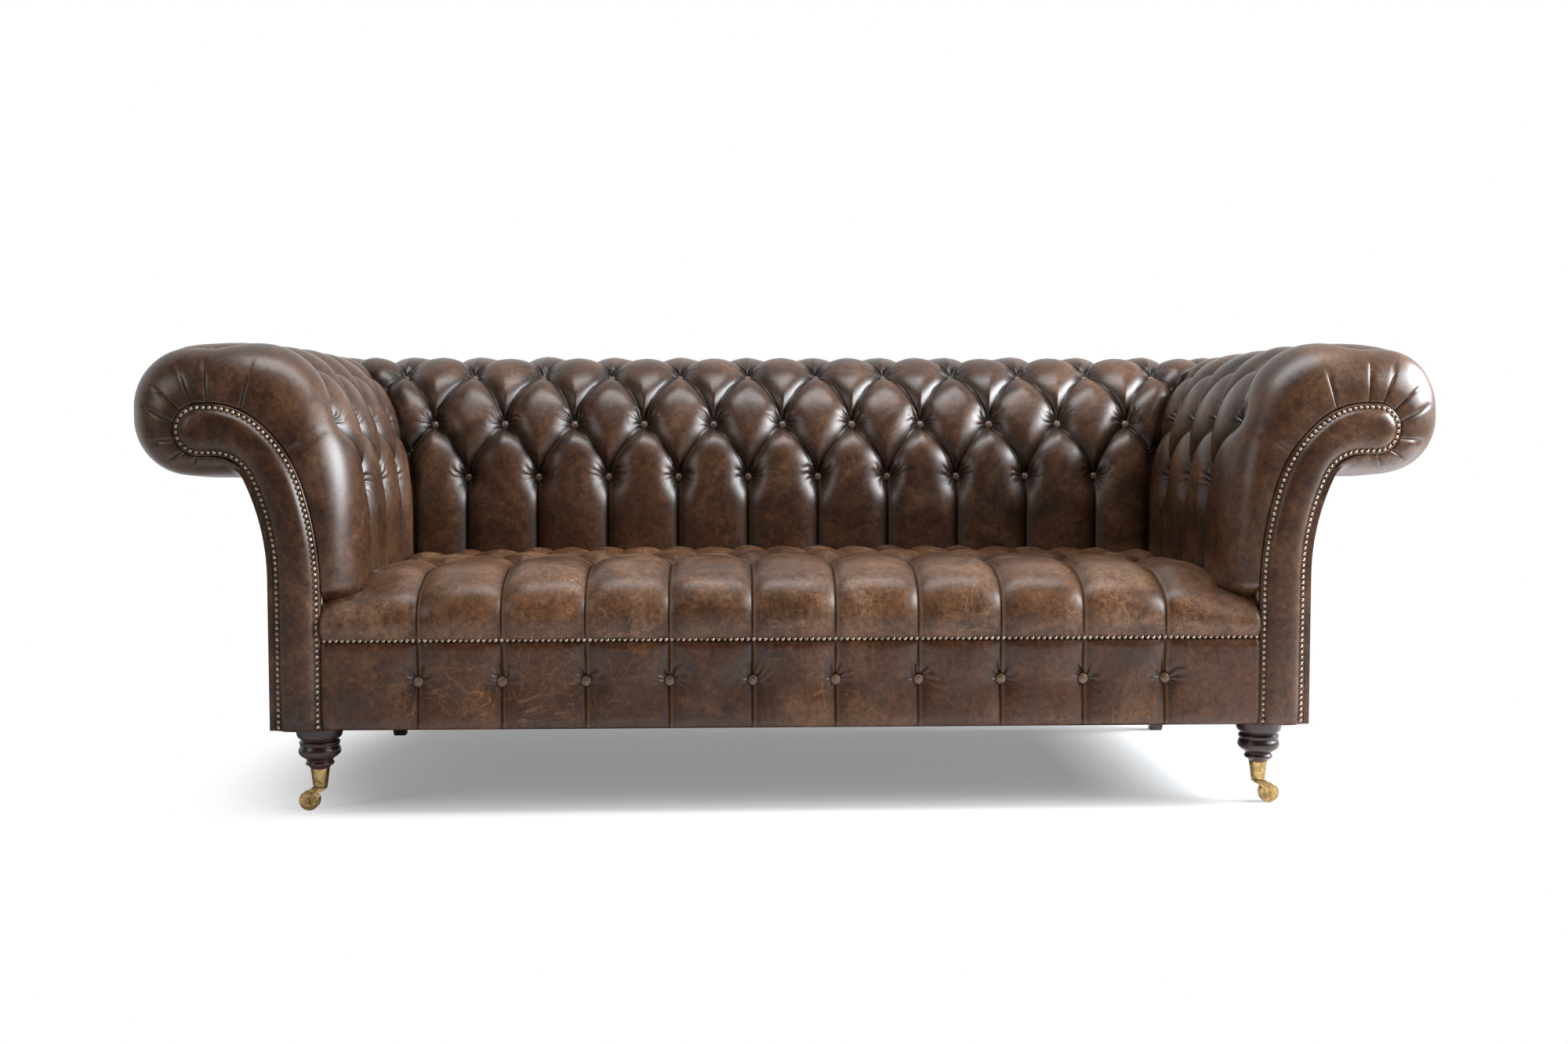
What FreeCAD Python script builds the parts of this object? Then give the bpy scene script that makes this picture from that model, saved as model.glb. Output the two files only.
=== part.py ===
# Chesterfield sofa, three seats, deep buttoned leather on a beech frame.
# Millimetres. +X is to the sitter's left, +Y to the back, +Z up.
# The pieces are laid out with Y measured from the front of the facings.
# They are stored with the origin on the floor, in the middle of the sofa's outline.
import FreeCAD, Part
import math
import os

Vector = FreeCAD.Vector

# Layout of the buttoning, which sets the width of the sofa
tuft_pitch = 140.0
back_columns = 10
corner_margin = 105.0
seat_depth = 552.0
button_diameter = 16.0
border_button_diameter = 18.0
tuft_depth = 28.0
crease_depth = 15.0
pleat_depth = 7.0
pleat_width = 5.0
mitre_gap = 0.4
soft_gap = 0.3

# Heights, from the floor up
wheel_diameter = 34.0
horn_height = 41.0
cup_height = 31.0
leg_wood_height = 72.5
rail_height = 144.0
seat_crest_rise = 133.0
arm_curve_start = 86.0

# Seat frame
rail_thickness = 28.0
front_rail_setback = 18.0
block_length = 82.0
block_depth = 70.0
block_height = 60.0
cross_rail_width = 45.0
cross_rail_count = 2
web_thickness = 2.0
web_width = 60.0
web_gap = 55.0
web_side_straps = 6
web_cross_start = 78.0
web_cross_count = 4
web_hold = 10.0
hessian_inset = 12.0
hessian_thickness = 1.2
cover_thickness = 1.2
cover_inset = 8.0

# Arm fronts, tops and backs
facing_inset = 54.0
facing_thickness = 12.0
facing_bevel = 3.5
board_thickness = 28.0
board_inset = 1.5
panel_thickness = 9.0
panel_gap = 0.3
panel_top_start = 20.0
panel_front_setback = 2.0
back_panel_reach = 199.5
top_rail_width = 66.0
top_rail_height = 54.0
top_rail_chamfer = 12.0
top_rail_drop = 43.0
top_rail_shift = 5.0
stay_thickness = 28.0
back_stay_webs = [1.5, 5.5]
tack_rail_width = 22.0
tack_rail_height = 45.0
arm_post_setback = 40.0

# Legs
leg_setback = 52.0
leg_inset_from_arm = 70.0
leg_top_radius = 38.5
rear_leg_top = 45.0
rear_leg_foot = 25.0
rear_leg_rake = 52.0
rear_leg_inset = 20.3
tenon_size = 16.0
tenon_length = 26.0
tenon_clearance = 0.1

# Castors
cup_mouth_radius = 16.0
cup_foot_radius = 12.0
cup_wall = 2.0
cup_floor = 4.0
pin_radius = 4.0
running_clearance = 0.05
seat_clearance = 0.2
swivel_gap = 0.3
horn_plate = 5.0
horn_half_length = 9.0
cheek_thickness = 3.0
wheel_width = 16.0
wheel_side_gap = 0.4
castor_trail = 18.0
axle_radius = 3.0
cheek_boss_radius = 6.5
pin_head_radius = 6.5
pin_head_height = 1.5
pin_collar_height = 2.0
axle_overhang = 1.0

# Heights, widths and depths that follow from the sizes above
rail_bottom = horn_height + cup_height + leg_wood_height
rail_top = rail_bottom + rail_height
inside_half_width = (back_columns - 1) * tuft_pitch / 2 + corner_margin
seat_half_width = inside_half_width - soft_gap

board_front = facing_thickness + soft_gap
board_back = board_front + board_thickness

parts = {}


def put(name, shape):
    parts[name] = shape


def mirrored(shape):
    return shape.mirror(Vector(0, 0, 0), Vector(1, 0, 0))


def put_pair(name, shape):
    put("right_" + name, shape)
    put("left_" + name, mirrored(shape))


def box(x0, x1, y0, y1, z0, z1):
    return Part.makeBox(x1 - x0, y1 - y0, z1 - z0, Vector(x0, y0, z0))


def cylinder(radius, z0, z1, x=0.0, y=0.0):
    return Part.makeCylinder(radius, z1 - z0, Vector(x, y, z0))


# A path is drawn like a pen stroke: it starts upright, or turned by heading, and each move is a line or an arc.
# A positive radius turns it outward, a negative one turns it back.
# The path lies in a plane of reach, measured outward, and height.
def draw_path(start, moves, heading=0.0):
    pieces = []
    reach, height = start
    for move in moves:
        if move[0] == "line":
            pieces.append((reach, height, heading, 0.0, move[1]))
            reach += move[1] * math.sin(heading)
            height += move[1] * math.cos(heading)
            continue
        radius, turn = move[1], math.radians(move[2])
        if radius < 0:
            turn = -turn
        pieces.append((reach, height, heading, radius, abs(radius * turn)))
        reach += radius * (math.cos(heading) - math.cos(heading + turn))
        height += radius * (math.sin(heading + turn) - math.sin(heading))
        heading += turn
    return pieces


def piece_point(piece, run):
    reach, height, heading, radius, length = piece
    if radius == 0.0:
        return reach + run * math.sin(heading), height + run * math.cos(heading), heading
    now = heading + run / radius
    return (reach + radius * (math.cos(heading) - math.cos(now)),
            height + radius * (math.sin(now) - math.sin(heading)), now)


def path_length(pieces):
    return sum(piece[4] for piece in pieces)


def along(pieces, run):
    for piece in pieces:
        if run <= piece[4] or piece is pieces[-1]:
            return piece_point(piece, min(run, piece[4]))
        run -= piece[4]


def path_edges(pieces, place):
    edges = []
    for piece in pieces:
        first = place(*piece_point(piece, 0.0)[:2])
        last = place(*piece_point(piece, piece[4])[:2])
        if piece[3] == 0.0:
            edges.append(Part.makeLine(first, last))
            continue
        middle = place(*piece_point(piece, piece[4] / 2)[:2])
        edges.append(Part.Arc(first, middle, last).toShape())
    return edges


def closed_face(edges, corners):
    points = [edges[-1].Vertexes[-1].Point] + corners + [edges[0].Vertexes[0].Point]
    for first, last in zip(points, points[1:]):
        edges.append(Part.makeLine(first, last))
    return Part.Face(Part.Wire(edges))


# The padded surface of the arms and the back: up from the seat, over the roll and back under it
crest_moves = [
    ("line", 187.5),
    ("arc", 560.0, 14.0),
    ("arc", 330.0, 18.0),
    ("arc", 200.0, 18.0),
    ("arc", 120.0, 32.0),
    ("arc", 430.0, 18.0),
    ("arc", 100.0, 80.0),
    ("line", 20.0),
    ("arc", 96.0, 82.0),
    ("arc", 300.0, 8.0),
    ("line", 60.5),
]
crest_start_rise = 6.5
crest = draw_path((0.0, rail_top + crest_start_rise), crest_moves)
crest_length = path_length(crest)

first_row = 257.5
row_spacing = [116.0, 136.0, 128.0]
base_thickness = facing_inset - soft_gap
row_thickness = [62.0, 76.0, 90.0, 92.0]
nose_gap = 3.0
underside_steps = 7


# The outline of an arm's scroll-shaped front, which the facing and the frame boards share.
# An inset moves the whole outline inward.
scroll_moves = [
    ("line", rail_height + arm_curve_start),
    ("arc", 600.0, 17.0),
    ("arc", 230.0, 33.0),
    ("arc", 125.0, 40.0),
    ("line", 14.0),
    ("arc", 43.0, 180.0),
    ("line", 24.0),
    ("arc", -60.0, 65.0),
    ("arc", -400.0, 25.0),
]


def scroll_path(inset):
    moves = [move if move[0] == "line" else ("arc", move[1] - inset, move[2]) for move in scroll_moves]
    return draw_path((facing_inset + inset, rail_bottom), moves)


def path_end(pieces):
    return piece_point(pieces[-1], pieces[-1][4])


def scroll_face(inset, place):
    path = scroll_path(inset)
    outer = path_end(path)[0]
    return closed_face(path_edges(path, place), [place(outer, rail_bottom)])


# The boards behind are sawn to it in straight cuts, close enough to stay inside it
def sawn_face(pieces, place, corners):
    points = []
    for piece in pieces:
        cuts = 1
        if piece[3]:
            cuts = math.ceil(piece[4] / abs(piece[3]) / (2 * math.acos(1 - board_inset / abs(piece[3]))))
        points += [place(*piece_point(piece, piece[4] * cut / cuts)[:2]) for cut in range(cuts)]
    points.append(place(*path_end(pieces)[:2]))
    points += corners
    return Part.Face(Part.makePolygon(points + [points[0]]))


def board_face(place):
    path = scroll_path(board_inset)
    outer = path_end(path)[0]
    return sawn_face(path, place, [place(outer, rail_bottom)])


def arm_plane(y):
    return lambda reach, height: Vector(inside_half_width + reach, y, height)


def back_plane(x):
    return lambda reach, height: Vector(x, seat_depth + reach, height)


# Buttoned padding. A station is a cut across the padding: where its lining and its crest are,
# how far on it is between rows of buttons, and how deep its creases are.
# Creases zigzag between the rows, so that diamonds stand between the buttons.
sliver = 1.5
puff_shoulder = 0.28


def half_tuft(phase, seat_width):
    full = (tuft_pitch - seat_width) / 2
    if phase < 1:
        return pleat_width / 2 + phase * (seat_width - pleat_width) / 2
    if phase > 4:
        return full + (phase - 4) * (seat_width - pleat_width) / 2
    swing = 1 - abs(1 - (phase - 1) % 2)
    return seat_width / 2 + swing * (full - seat_width / 2)


def crease_places(station, centres, low, high, seat_width):
    half = half_tuft(station["phase"], seat_width)
    places = []
    for centre in centres:
        places += [centre - half, centre + half]
    count = len(places)
    for index, place in enumerate(places):
        place = max(place, low + (index + 1) * sliver)
        places[index] = min(place, high - (count - index) * sliver)
    return places


def station_point(station, height):
    (inner_reach, inner_z), (outer_reach, outer_z) = station["lining"], station["crest"]
    share = height / math.dist(station["lining"], station["crest"])
    return inner_reach + share * (outer_reach - inner_reach), inner_z + share * (outer_z - inner_z)


def section_points(station, pad):
    top = math.dist(station["lining"], station["crest"])
    depth = station["depth"]
    edge = min(depth, pad["edge_depth"])
    low = pad["low"](*station_point(station, top - edge))
    high = pad["high"](*station_point(station, top - edge))
    first = pad["low"](*station["lining"])
    outline = [(first, 0.0)]
    for share_in, share_up in pad["front_round"]:
        outline.append((low + share_in * pad["front_reach"], share_up * top))
    low += pad["front_reach"] if pad["front_round"] else 0.0
    places = crease_places(station, pad["centres"], low, high, pad["seat_width"])
    cuts = [low] + places + [high]
    drops = [edge] + [depth] * len(places) + [edge]
    if pad["front_round"]:
        drops[0] = 0.0
    for index in range(len(cuts) - 1):
        left, right = cuts[index], cuts[index + 1]
        width = right - left
        rise = max(0.0, min(1.0, (width - pad["seat_width"]) / tuft_depth))
        for share in (0.0, puff_shoulder, 1 - puff_shoulder):
            drop = drops[index] + share * (drops[index + 1] - drops[index])
            if share:
                drop *= 1 - rise
            outline.append((left + share * width, top - drop))
    outline.append((high, top - edge))
    outline.append((pad["high"](*station["lining"]), 0.0))
    points = []
    for across, height in outline:
        drop = pad["crown"] * (across / seat_half_width) ** 4 if height > top / 2 else 0.0
        points.append(pad["place"](across, *station_point(station, height - drop)))
    return points


# Flat facets between two stations: a quad where its corners lie in a plane, or two triangles
def strip_faces(near, far):
    faces = []
    count = len(near)
    for index in range(count):
        after = (index + 1) % count
        a, b, c, d = near[index], near[after], far[after], far[index]
        normal = (b - a).cross(d - a)
        if normal.Length > 1e-6 and abs((c - a).dot(normal) / normal.Length) < 1e-6:
            faces.append(Part.Face(Part.makePolygon([a, b, c, d, a])))
            continue
        outward = (b - a).cross(c - a)
        if (d - a).dot(outward) > 0:
            triangles = [(a, b, d), (b, c, d)]
        else:
            triangles = [(a, b, c), (a, c, d)]
        for corners in triangles:
            faces.append(Part.Face(Part.makePolygon(list(corners) + [corners[0]])))
    return faces


def faceted_solid(sections):
    faces = []
    for section in (sections[0], sections[-1]):
        faces.append(Part.Face(Part.makePolygon(section + [section[0]])))
    for near, far in zip(sections, sections[1:]):
        faces += strip_faces(near, far)
    shell = Part.makeShell(faces)
    shell.sewShape()
    solid = Part.makeSolid(shell)
    if solid.Volume < 0:
        solid.reverse()
    return solid


def quilted_solid(pad):
    return faceted_solid([section_points(station, pad) for station in pad["stations"]])


# The stations of the arms and the back, from below the seat, over the roll, to its underside
def crest_station(run, thickness, phase, depth):
    reach, height, heading = along(crest, run)
    lining = (reach + thickness * math.cos(heading), height - thickness * math.sin(heading))
    return {"crest": (reach, height), "lining": lining, "phase": phase, "depth": depth}


def crest_stations():
    runs = [first_row]
    for spacing in row_spacing:
        runs.append(runs[-1] + spacing)
    seat_run = rail_top + seat_crest_rise - crest[0][1]
    stations = [crest_station(0.0, base_thickness, 0.0, pleat_depth),
                crest_station(seat_run, base_thickness, 0.0, pleat_depth)]
    for row, run in enumerate(runs):
        stations.append(crest_station(run, row_thickness[row], row + 1.0, tuft_depth))
        if row < len(runs) - 1:
            thickness = (row_thickness[row] + row_thickness[row + 1]) / 2
            stations.append(crest_station((run + runs[row + 1]) / 2, thickness, row + 1.5, crease_depth))
    nose = scroll_path(-nose_gap)[4:7]
    for step in range(1, underside_steps + 1):
        share = step / underside_steps
        run = runs[-1] + share * (crest_length - runs[-1])
        depth = max(pleat_depth, crease_depth - share * tuft_depth)
        station = crest_station(run, 0.0, 4.0 + share, depth)
        station["lining"] = along(nose, share * path_length(nose))[:2]
        stations.append(station)
    return stations


overall_depth = seat_depth + max(station["crest"][0] for station in crest_stations())
half_pitch = tuft_pitch / 2
back_centres = [half_pitch + tuft_pitch * index for index in range(-back_columns // 2 - 2, back_columns // 2 + 2)]
arm_columns = int((seat_depth - corner_margin) / tuft_pitch)
arm_centres = [seat_depth - corner_margin - tuft_pitch * index for index in range(arm_columns, -3, -1)]
border_centres = [half_pitch + tuft_pitch * index for index in range(-back_columns // 2, back_columns // 2)]
seat_centres = [half_pitch + tuft_pitch * index for index in range(-back_columns // 2 - 1, back_columns // 2 + 1)]
front_reach = 52.0
arm_front_gap = 4.0

plain_pad = {"front_round": [], "front_reach": 0.0, "crown": 0.0, "edge_depth": 10.0,
             "seat_width": button_diameter + 3.0}

back_pad = dict(plain_pad)
back_pad["stations"] = crest_stations()
back_pad["centres"] = back_centres
back_pad["low"] = lambda reach, height: -(inside_half_width + reach - mitre_gap)
back_pad["high"] = lambda reach, height: inside_half_width + reach - mitre_gap
back_pad["place"] = lambda across, reach, height: Vector(across, seat_depth + reach, height)

arm_pad = dict(plain_pad)
arm_pad["stations"] = crest_stations()
arm_pad["centres"] = arm_centres
arm_pad["front_round"] = [(0.0, 0.12), (0.12, 0.55), (0.45, 0.87)]
arm_pad["front_reach"] = front_reach
arm_pad["low"] = lambda reach, height: arm_front_gap
arm_pad["high"] = lambda reach, height: seat_depth + reach - mitre_gap
arm_pad["place"] = lambda across, reach, height: Vector(inside_half_width + reach, across, height)

# The seat: over the front rail, back between the arms, with three rows of buttons
seat_bottom = rail_top + web_thickness * 2 + hessian_thickness + soft_gap
seat_front_setback = 4.0
seat_nose_moves = [("line", 25.0), ("arc", 75.0, 78.0), ("arc", 260.0, 21.0)]
seat_nose_cuts = [1, 3, 1]
seat_first_row = 260.0
seat_row_spacing = 110.0
seat_tuft_depth = 18.0
seat_crease_depth = 10.0
seat_crown = 20.0
seat_nose_lean = 8.0


def seat_station(reach, height, phase, depth, lining_reach=None):
    lining = (reach if lining_reach is None else lining_reach, seat_bottom)
    return {"crest": (reach, height), "lining": lining, "phase": phase, "depth": depth}


def seat_stations():
    nose = draw_path((seat_front_setback, seat_bottom), seat_nose_moves, -math.radians(seat_nose_lean))
    points = []
    for piece, cuts in zip(nose, seat_nose_cuts):
        points += [piece_point(piece, piece[4] * cut / cuts) for cut in range(1, cuts + 1)]
    stations = []
    for index, (reach, height, heading) in enumerate(points):
        lining_reach = max(reach, board_back + 4.0 * index)
        stations.append(seat_station(reach, height, 0.0, min(pleat_depth, 3.0 + index), lining_reach))
    crest_height = points[-1][1]
    for row in range(3):
        run = seat_first_row + row * seat_row_spacing
        stations.append(seat_station(run, crest_height, row + 1.0, seat_tuft_depth))
        if row < 2:
            stations.append(seat_station(run + seat_row_spacing / 2, crest_height, row + 1.5, seat_crease_depth))
    stations.append(seat_station(seat_depth - soft_gap, crest_height, 3.5, seat_crease_depth))
    return stations


seat_pad = dict(plain_pad)
seat_pad["stations"] = seat_stations()
seat_pad["centres"] = seat_centres
seat_pad["crown"] = seat_crown
seat_pad["low"] = lambda reach, height: -seat_half_width
seat_pad["high"] = lambda reach, height: seat_half_width
seat_pad["place"] = lambda across, reach, height: Vector(across, reach, height)

# The border: a thin padded band over the front rail, with one row of buttons
border_setback = 4.0
border_button_height = 79.0
border_tuft_depth = 6.0
border_half_width = inside_half_width + base_thickness


def border_station(height, phase, depth):
    setback = front_rail_setback - soft_gap
    return {"crest": (border_setback, height), "lining": (setback, height), "phase": phase, "depth": depth}


def border_stations():
    button_z = rail_bottom + border_button_height
    top = seat_bottom - soft_gap
    return [border_station(rail_bottom, 0.0, 2.0),
            border_station((rail_bottom + button_z) / 2, 0.0, 3.0),
            border_station(button_z, 1.0, border_tuft_depth),
            border_station((top + button_z) / 2, 0.0, 3.0),
            border_station(top, 0.0, 2.0)]


border_pad = dict(plain_pad)
border_pad["stations"] = border_stations()
border_pad["centres"] = border_centres
border_pad["seat_width"] = border_button_diameter + 2.0
border_pad["low"] = lambda reach, height: -border_half_width
border_pad["high"] = lambda reach, height: border_half_width
border_pad["place"] = lambda across, reach, height: Vector(across, reach, height)


# Buttons stand in the pits where creases cross, just clear of the leather that rises round them
button_height = 6.0
button_crown_share = 0.6
button_sides = 6
button_margin = 26.0
button_clearance = 0.5


def button_lift(pad, index, radius):
    stations = pad["stations"]
    station = stations[index]
    top = math.dist(station["lining"], station["crest"])
    pit = station_point(station, top - station["depth"])
    axis = [(outer - inner) / top for outer, inner in zip(station["crest"], station["lining"])]
    lift = 0.0
    for other in (stations[index - 1], stations[index + 1]):
        pleated = other["phase"] < 1 or other["phase"] > 4
        level = math.dist(other["lining"], other["crest"]) - pleated * other["depth"]
        step = [there - here for there, here in zip(station_point(other, level), pit)]
        rise = step[0] * axis[0] + step[1] * axis[1]
        run = math.sqrt(max(step[0] ** 2 + step[1] ** 2 - rise ** 2, 1.0))
        lift = max(lift, radius * rise / run)
    return lift + button_clearance


def button_solid(centre, axis, radius):
    across = axis.cross(Vector(0, 0, 1) if abs(axis.z) < 0.9 else Vector(0, 1, 0))
    across.normalize()
    over = axis.cross(across)
    rings = []
    for share, height in ((1.0, 0.0), (button_crown_share, button_height)):
        ring = []
        for side in range(button_sides):
            turn = 2 * math.pi * side / button_sides
            spoke = across * math.cos(turn) + over * math.sin(turn)
            ring.append(centre + axis * height + spoke * radius * share)
        rings.append(ring)
    return faceted_solid(rings)


def pad_buttons(pad, diameter):
    solids = []
    for index, station in enumerate(pad["stations"]):
        row = station["phase"]
        if row != int(row) or row < 1 or row > 4:
            continue
        top = math.dist(station["lining"], station["crest"])
        level = top - station["depth"] + button_lift(pad, index, diameter / 2)
        point = station_point(station, level)
        low = pad["low"](*point) + pad["front_reach"] * bool(pad["front_round"])
        high = pad["high"](*point)
        shift = 0.0 if int(row) % 2 else half_pitch
        centres = [place + shift for place in pad["centres"]]
        if shift:
            centres.append(pad["centres"][0] - shift)
        for centre in centres:
            if centre < low + button_margin or centre > high - button_margin:
                continue
            drop = pad["crown"] * (centre / seat_half_width) ** 4
            lean = 4 * pad["crown"] * centre ** 3 / seat_half_width ** 4
            foot = pad["place"](centre, *station_point(station, level - drop))
            tip = pad["place"](centre + lean, *station_point(station, level - drop + 1.0))
            solids.append(button_solid(foot, (tip - foot).normalize(), diameter / 2))
    return solids


def make_pads():
    put("back_pad", quilted_solid(back_pad))
    put_pair("arm_pad", quilted_solid(arm_pad))
    put("seat_pad", quilted_solid(seat_pad))
    put("front_border_pad", quilted_solid(border_pad))
    put("back_buttons", Part.makeCompound(pad_buttons(back_pad, button_diameter)))
    put_pair("arm_buttons", Part.makeCompound(pad_buttons(arm_pad, button_diameter)))
    put("seat_buttons", Part.makeCompound(pad_buttons(seat_pad, button_diameter)))
    put("border_buttons", Part.makeCompound(pad_buttons(border_pad, border_button_diameter)))


# Places that several pieces share
side_outer = inside_half_width + path_end(scroll_path(0.0))[0]
side_inner = side_outer - rail_thickness
front_rail_half = inside_half_width + facing_inset
back_panel_outer = seat_depth + back_panel_reach
back_frame_outer = back_panel_outer - panel_thickness - panel_gap
back_frame_reach = back_frame_outer - seat_depth
back_rail_front = back_frame_outer - rail_thickness
scroll_crown = path_end(scroll_path(0.0)[:4])
top_rail_reach = scroll_crown[0] + top_rail_shift
top_rail_centre = scroll_crown[1] - top_rail_drop
leg_x = inside_half_width + leg_inset_from_arm
rear_leg_y = back_rail_front - rear_leg_inset
web_pitch = web_width + web_gap
wheel_x = leg_x + castor_trail
wheel_radius = wheel_diameter / 2
cheek_outer = wheel_width / 2 + wheel_side_gap + cheek_thickness
plate_top = horn_height - swivel_gap
plate_bottom = plate_top - horn_plate


def make_arm_fronts():
    facing = scroll_face(0.0, arm_plane(0.0)).extrude(Vector(0, facing_thickness, 0))
    rim = [edge for edge in facing.Edges
           if edge.BoundBox.YMax < 1e-6 and edge.BoundBox.ZMax > rail_bottom + 1.0]
    put_pair("facing", facing.makeChamfer(facing_bevel, rim).Solids[0])
    board = board_face(arm_plane(board_front)).extrude(Vector(0, board_thickness, 0))
    put_pair("arm_front_board", board)


# A rail with its long edges chamfered, drawn in the plane of reach and height
def chamfered_section(place):
    half_w, half_h, cut = top_rail_width / 2, top_rail_height / 2, top_rail_chamfer
    corners = [(half_w - cut, half_h), (half_w, half_h - cut), (half_w, cut - half_h), (half_w - cut, -half_h),
               (cut - half_w, -half_h), (-half_w, cut - half_h), (-half_w, half_h - cut), (cut - half_w, half_h)]
    points = [place(top_rail_reach + across, top_rail_centre + up) for across, up in corners]
    return Part.Face(Part.makePolygon(points + [points[0]]))


def tack_rail_section(place):
    reach = facing_inset
    top = rail_top + arm_curve_start
    corners = [(reach, top - tack_rail_height), (reach + tack_rail_width, top - tack_rail_height),
               (reach + tack_rail_width, top), (reach, top)]
    points = [place(*corner) for corner in corners]
    return Part.Face(Part.makePolygon(points + [points[0]]))


def make_top_rails():
    rail_front = seat_depth + top_rail_reach - top_rail_width / 2
    length = Vector(0, rail_front - board_back, 0)
    put_pair("arm_top_rail", chamfered_section(arm_plane(board_back)).extrude(length))
    half_length = inside_half_width + top_rail_reach + top_rail_width / 2
    put("back_top_rail", chamfered_section(back_plane(-half_length)).extrude(Vector(2 * half_length, 0, 0)))


def make_tack_rails():
    back_front = seat_depth + facing_inset
    length = Vector(0, back_front + tack_rail_width - board_back, 0)
    put_pair("arm_tack_rail", tack_rail_section(arm_plane(board_back)).extrude(length))
    half_length = front_rail_half
    put("back_tack_rail", tack_rail_section(back_plane(-half_length)).extrude(Vector(2 * half_length, 0, 0)))


# Boards shaped to the scroll that stand on the side rails near the back corners
def make_rear_boards():
    y0 = seat_depth - arm_post_setback - board_thickness
    board = board_face(arm_plane(y0)).extrude(Vector(0, board_thickness, 0))
    below = box(0, 2 * side_outer, y0 - 1, y0 + board_thickness + 1, 0, rail_top)
    board = board.cut(below).cut(parts["right_arm_top_rail"]).cut(parts["right_arm_tack_rail"])
    put_pair("arm_rear_board", max(board.Solids, key=lambda solid: solid.Volume))


# Stays that stand on the back rail, with the scroll's curve in front and a straight edge behind
def make_back_stays():
    path = scroll_path(board_inset)[1:7]
    under = path_end(path)[1]
    foot = back_rail_front - seat_depth
    stays = []
    for share in back_stay_webs:
        for side in (-1, 1):
            place = back_plane(side * share * web_pitch - stay_thickness / 2)
            corners = [place(back_frame_reach, under), place(back_frame_reach, rail_top), place(foot, rail_top)]
            stay = sawn_face(path, place, corners).extrude(Vector(stay_thickness, 0, 0))
            stay = stay.cut(parts["back_top_rail"]).cut(parts["back_tack_rail"])
            stays.append(max(stay.Solids, key=lambda solid: solid.Volume))
    put("back_stays", Part.makeCompound(stays))


def make_seat_rails():
    put("front_rail", box(-front_rail_half, front_rail_half, front_rail_setback, board_back, rail_bottom, rail_top))
    put("back_rail", box(-side_inner, side_inner, back_rail_front, back_frame_outer, rail_bottom, rail_top))
    put_pair("side_rail", box(side_inner, side_outer, board_back, back_frame_outer, rail_bottom, rail_top))
    half = tenon_size / 2 + tenon_clearance
    mortise_top = rail_bottom + tenon_length + 1.0
    cuts = []
    for x in (-leg_x, leg_x):
        cuts.append(cylinder(half, 0, mortise_top, x, leg_setback))
        cuts.append(box(x - half, x + half, rear_leg_y - half, rear_leg_y + half, 0, mortise_top))
    mortises = Part.makeCompound(cuts)
    blocks = []
    for x0 in (-side_inner, side_inner - block_length):
        for y0 in (board_back, back_rail_front - block_depth):
            block = box(x0, x0 + block_length, y0, y0 + block_depth, rail_bottom, rail_bottom + block_height)
            blocks.append(block.cut(mortises))
    put("corner_blocks", Part.makeCompound(blocks))
    cross_rails = []
    spacing = 2 * side_inner / (cross_rail_count + 1)
    for index in range(1, cross_rail_count + 1):
        x0 = -side_inner + spacing * index - cross_rail_width / 2
        cross_rails.append(box(x0, x0 + cross_rail_width, board_back, back_rail_front,
                               rail_bottom, rail_bottom + block_height))
    put("seat_cross_rails", Part.makeCompound(cross_rails))


def make_seat_support():
    straps = []
    for index in range(-web_side_straps, web_side_straps + 1):
        x0 = index * web_pitch - web_width / 2
        straps.append(box(x0, x0 + web_width, board_back - web_hold, back_rail_front + web_hold,
                          rail_top, rail_top + web_thickness))
    put("seat_webbing", Part.makeCompound(straps))
    straps = []
    half = side_inner + web_hold
    for index in range(web_cross_count):
        y0 = web_cross_start + index * web_pitch
        straps.append(box(-half, half, y0, y0 + web_width, rail_top + web_thickness, rail_top + 2 * web_thickness))
    put("seat_cross_webbing", Part.makeCompound(straps))
    half = inside_half_width + facing_inset - hessian_inset
    base = rail_top + 2 * web_thickness
    put("seat_hessian", box(-half, half, front_rail_setback + hessian_inset, back_rail_front - hessian_inset,
                            base, base + hessian_thickness))


# The outside of an arm: a thin panel that follows the scroll's outer edge down from the roll
def panel_edges(outset, place):
    pieces = scroll_path(-outset)[7:]
    first = pieces[0]
    skipped = math.radians(panel_top_start * 2) * abs(first[3])
    reach, height, heading = piece_point(first, skipped)
    pieces[0] = (reach, height, heading, first[3], first[4] - skipped)
    edges = path_edges(pieces, place)
    end = path_end(pieces)
    edges.append(Part.makeLine(place(*end[:2]), place(end[0], rail_bottom)))
    return edges


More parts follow.
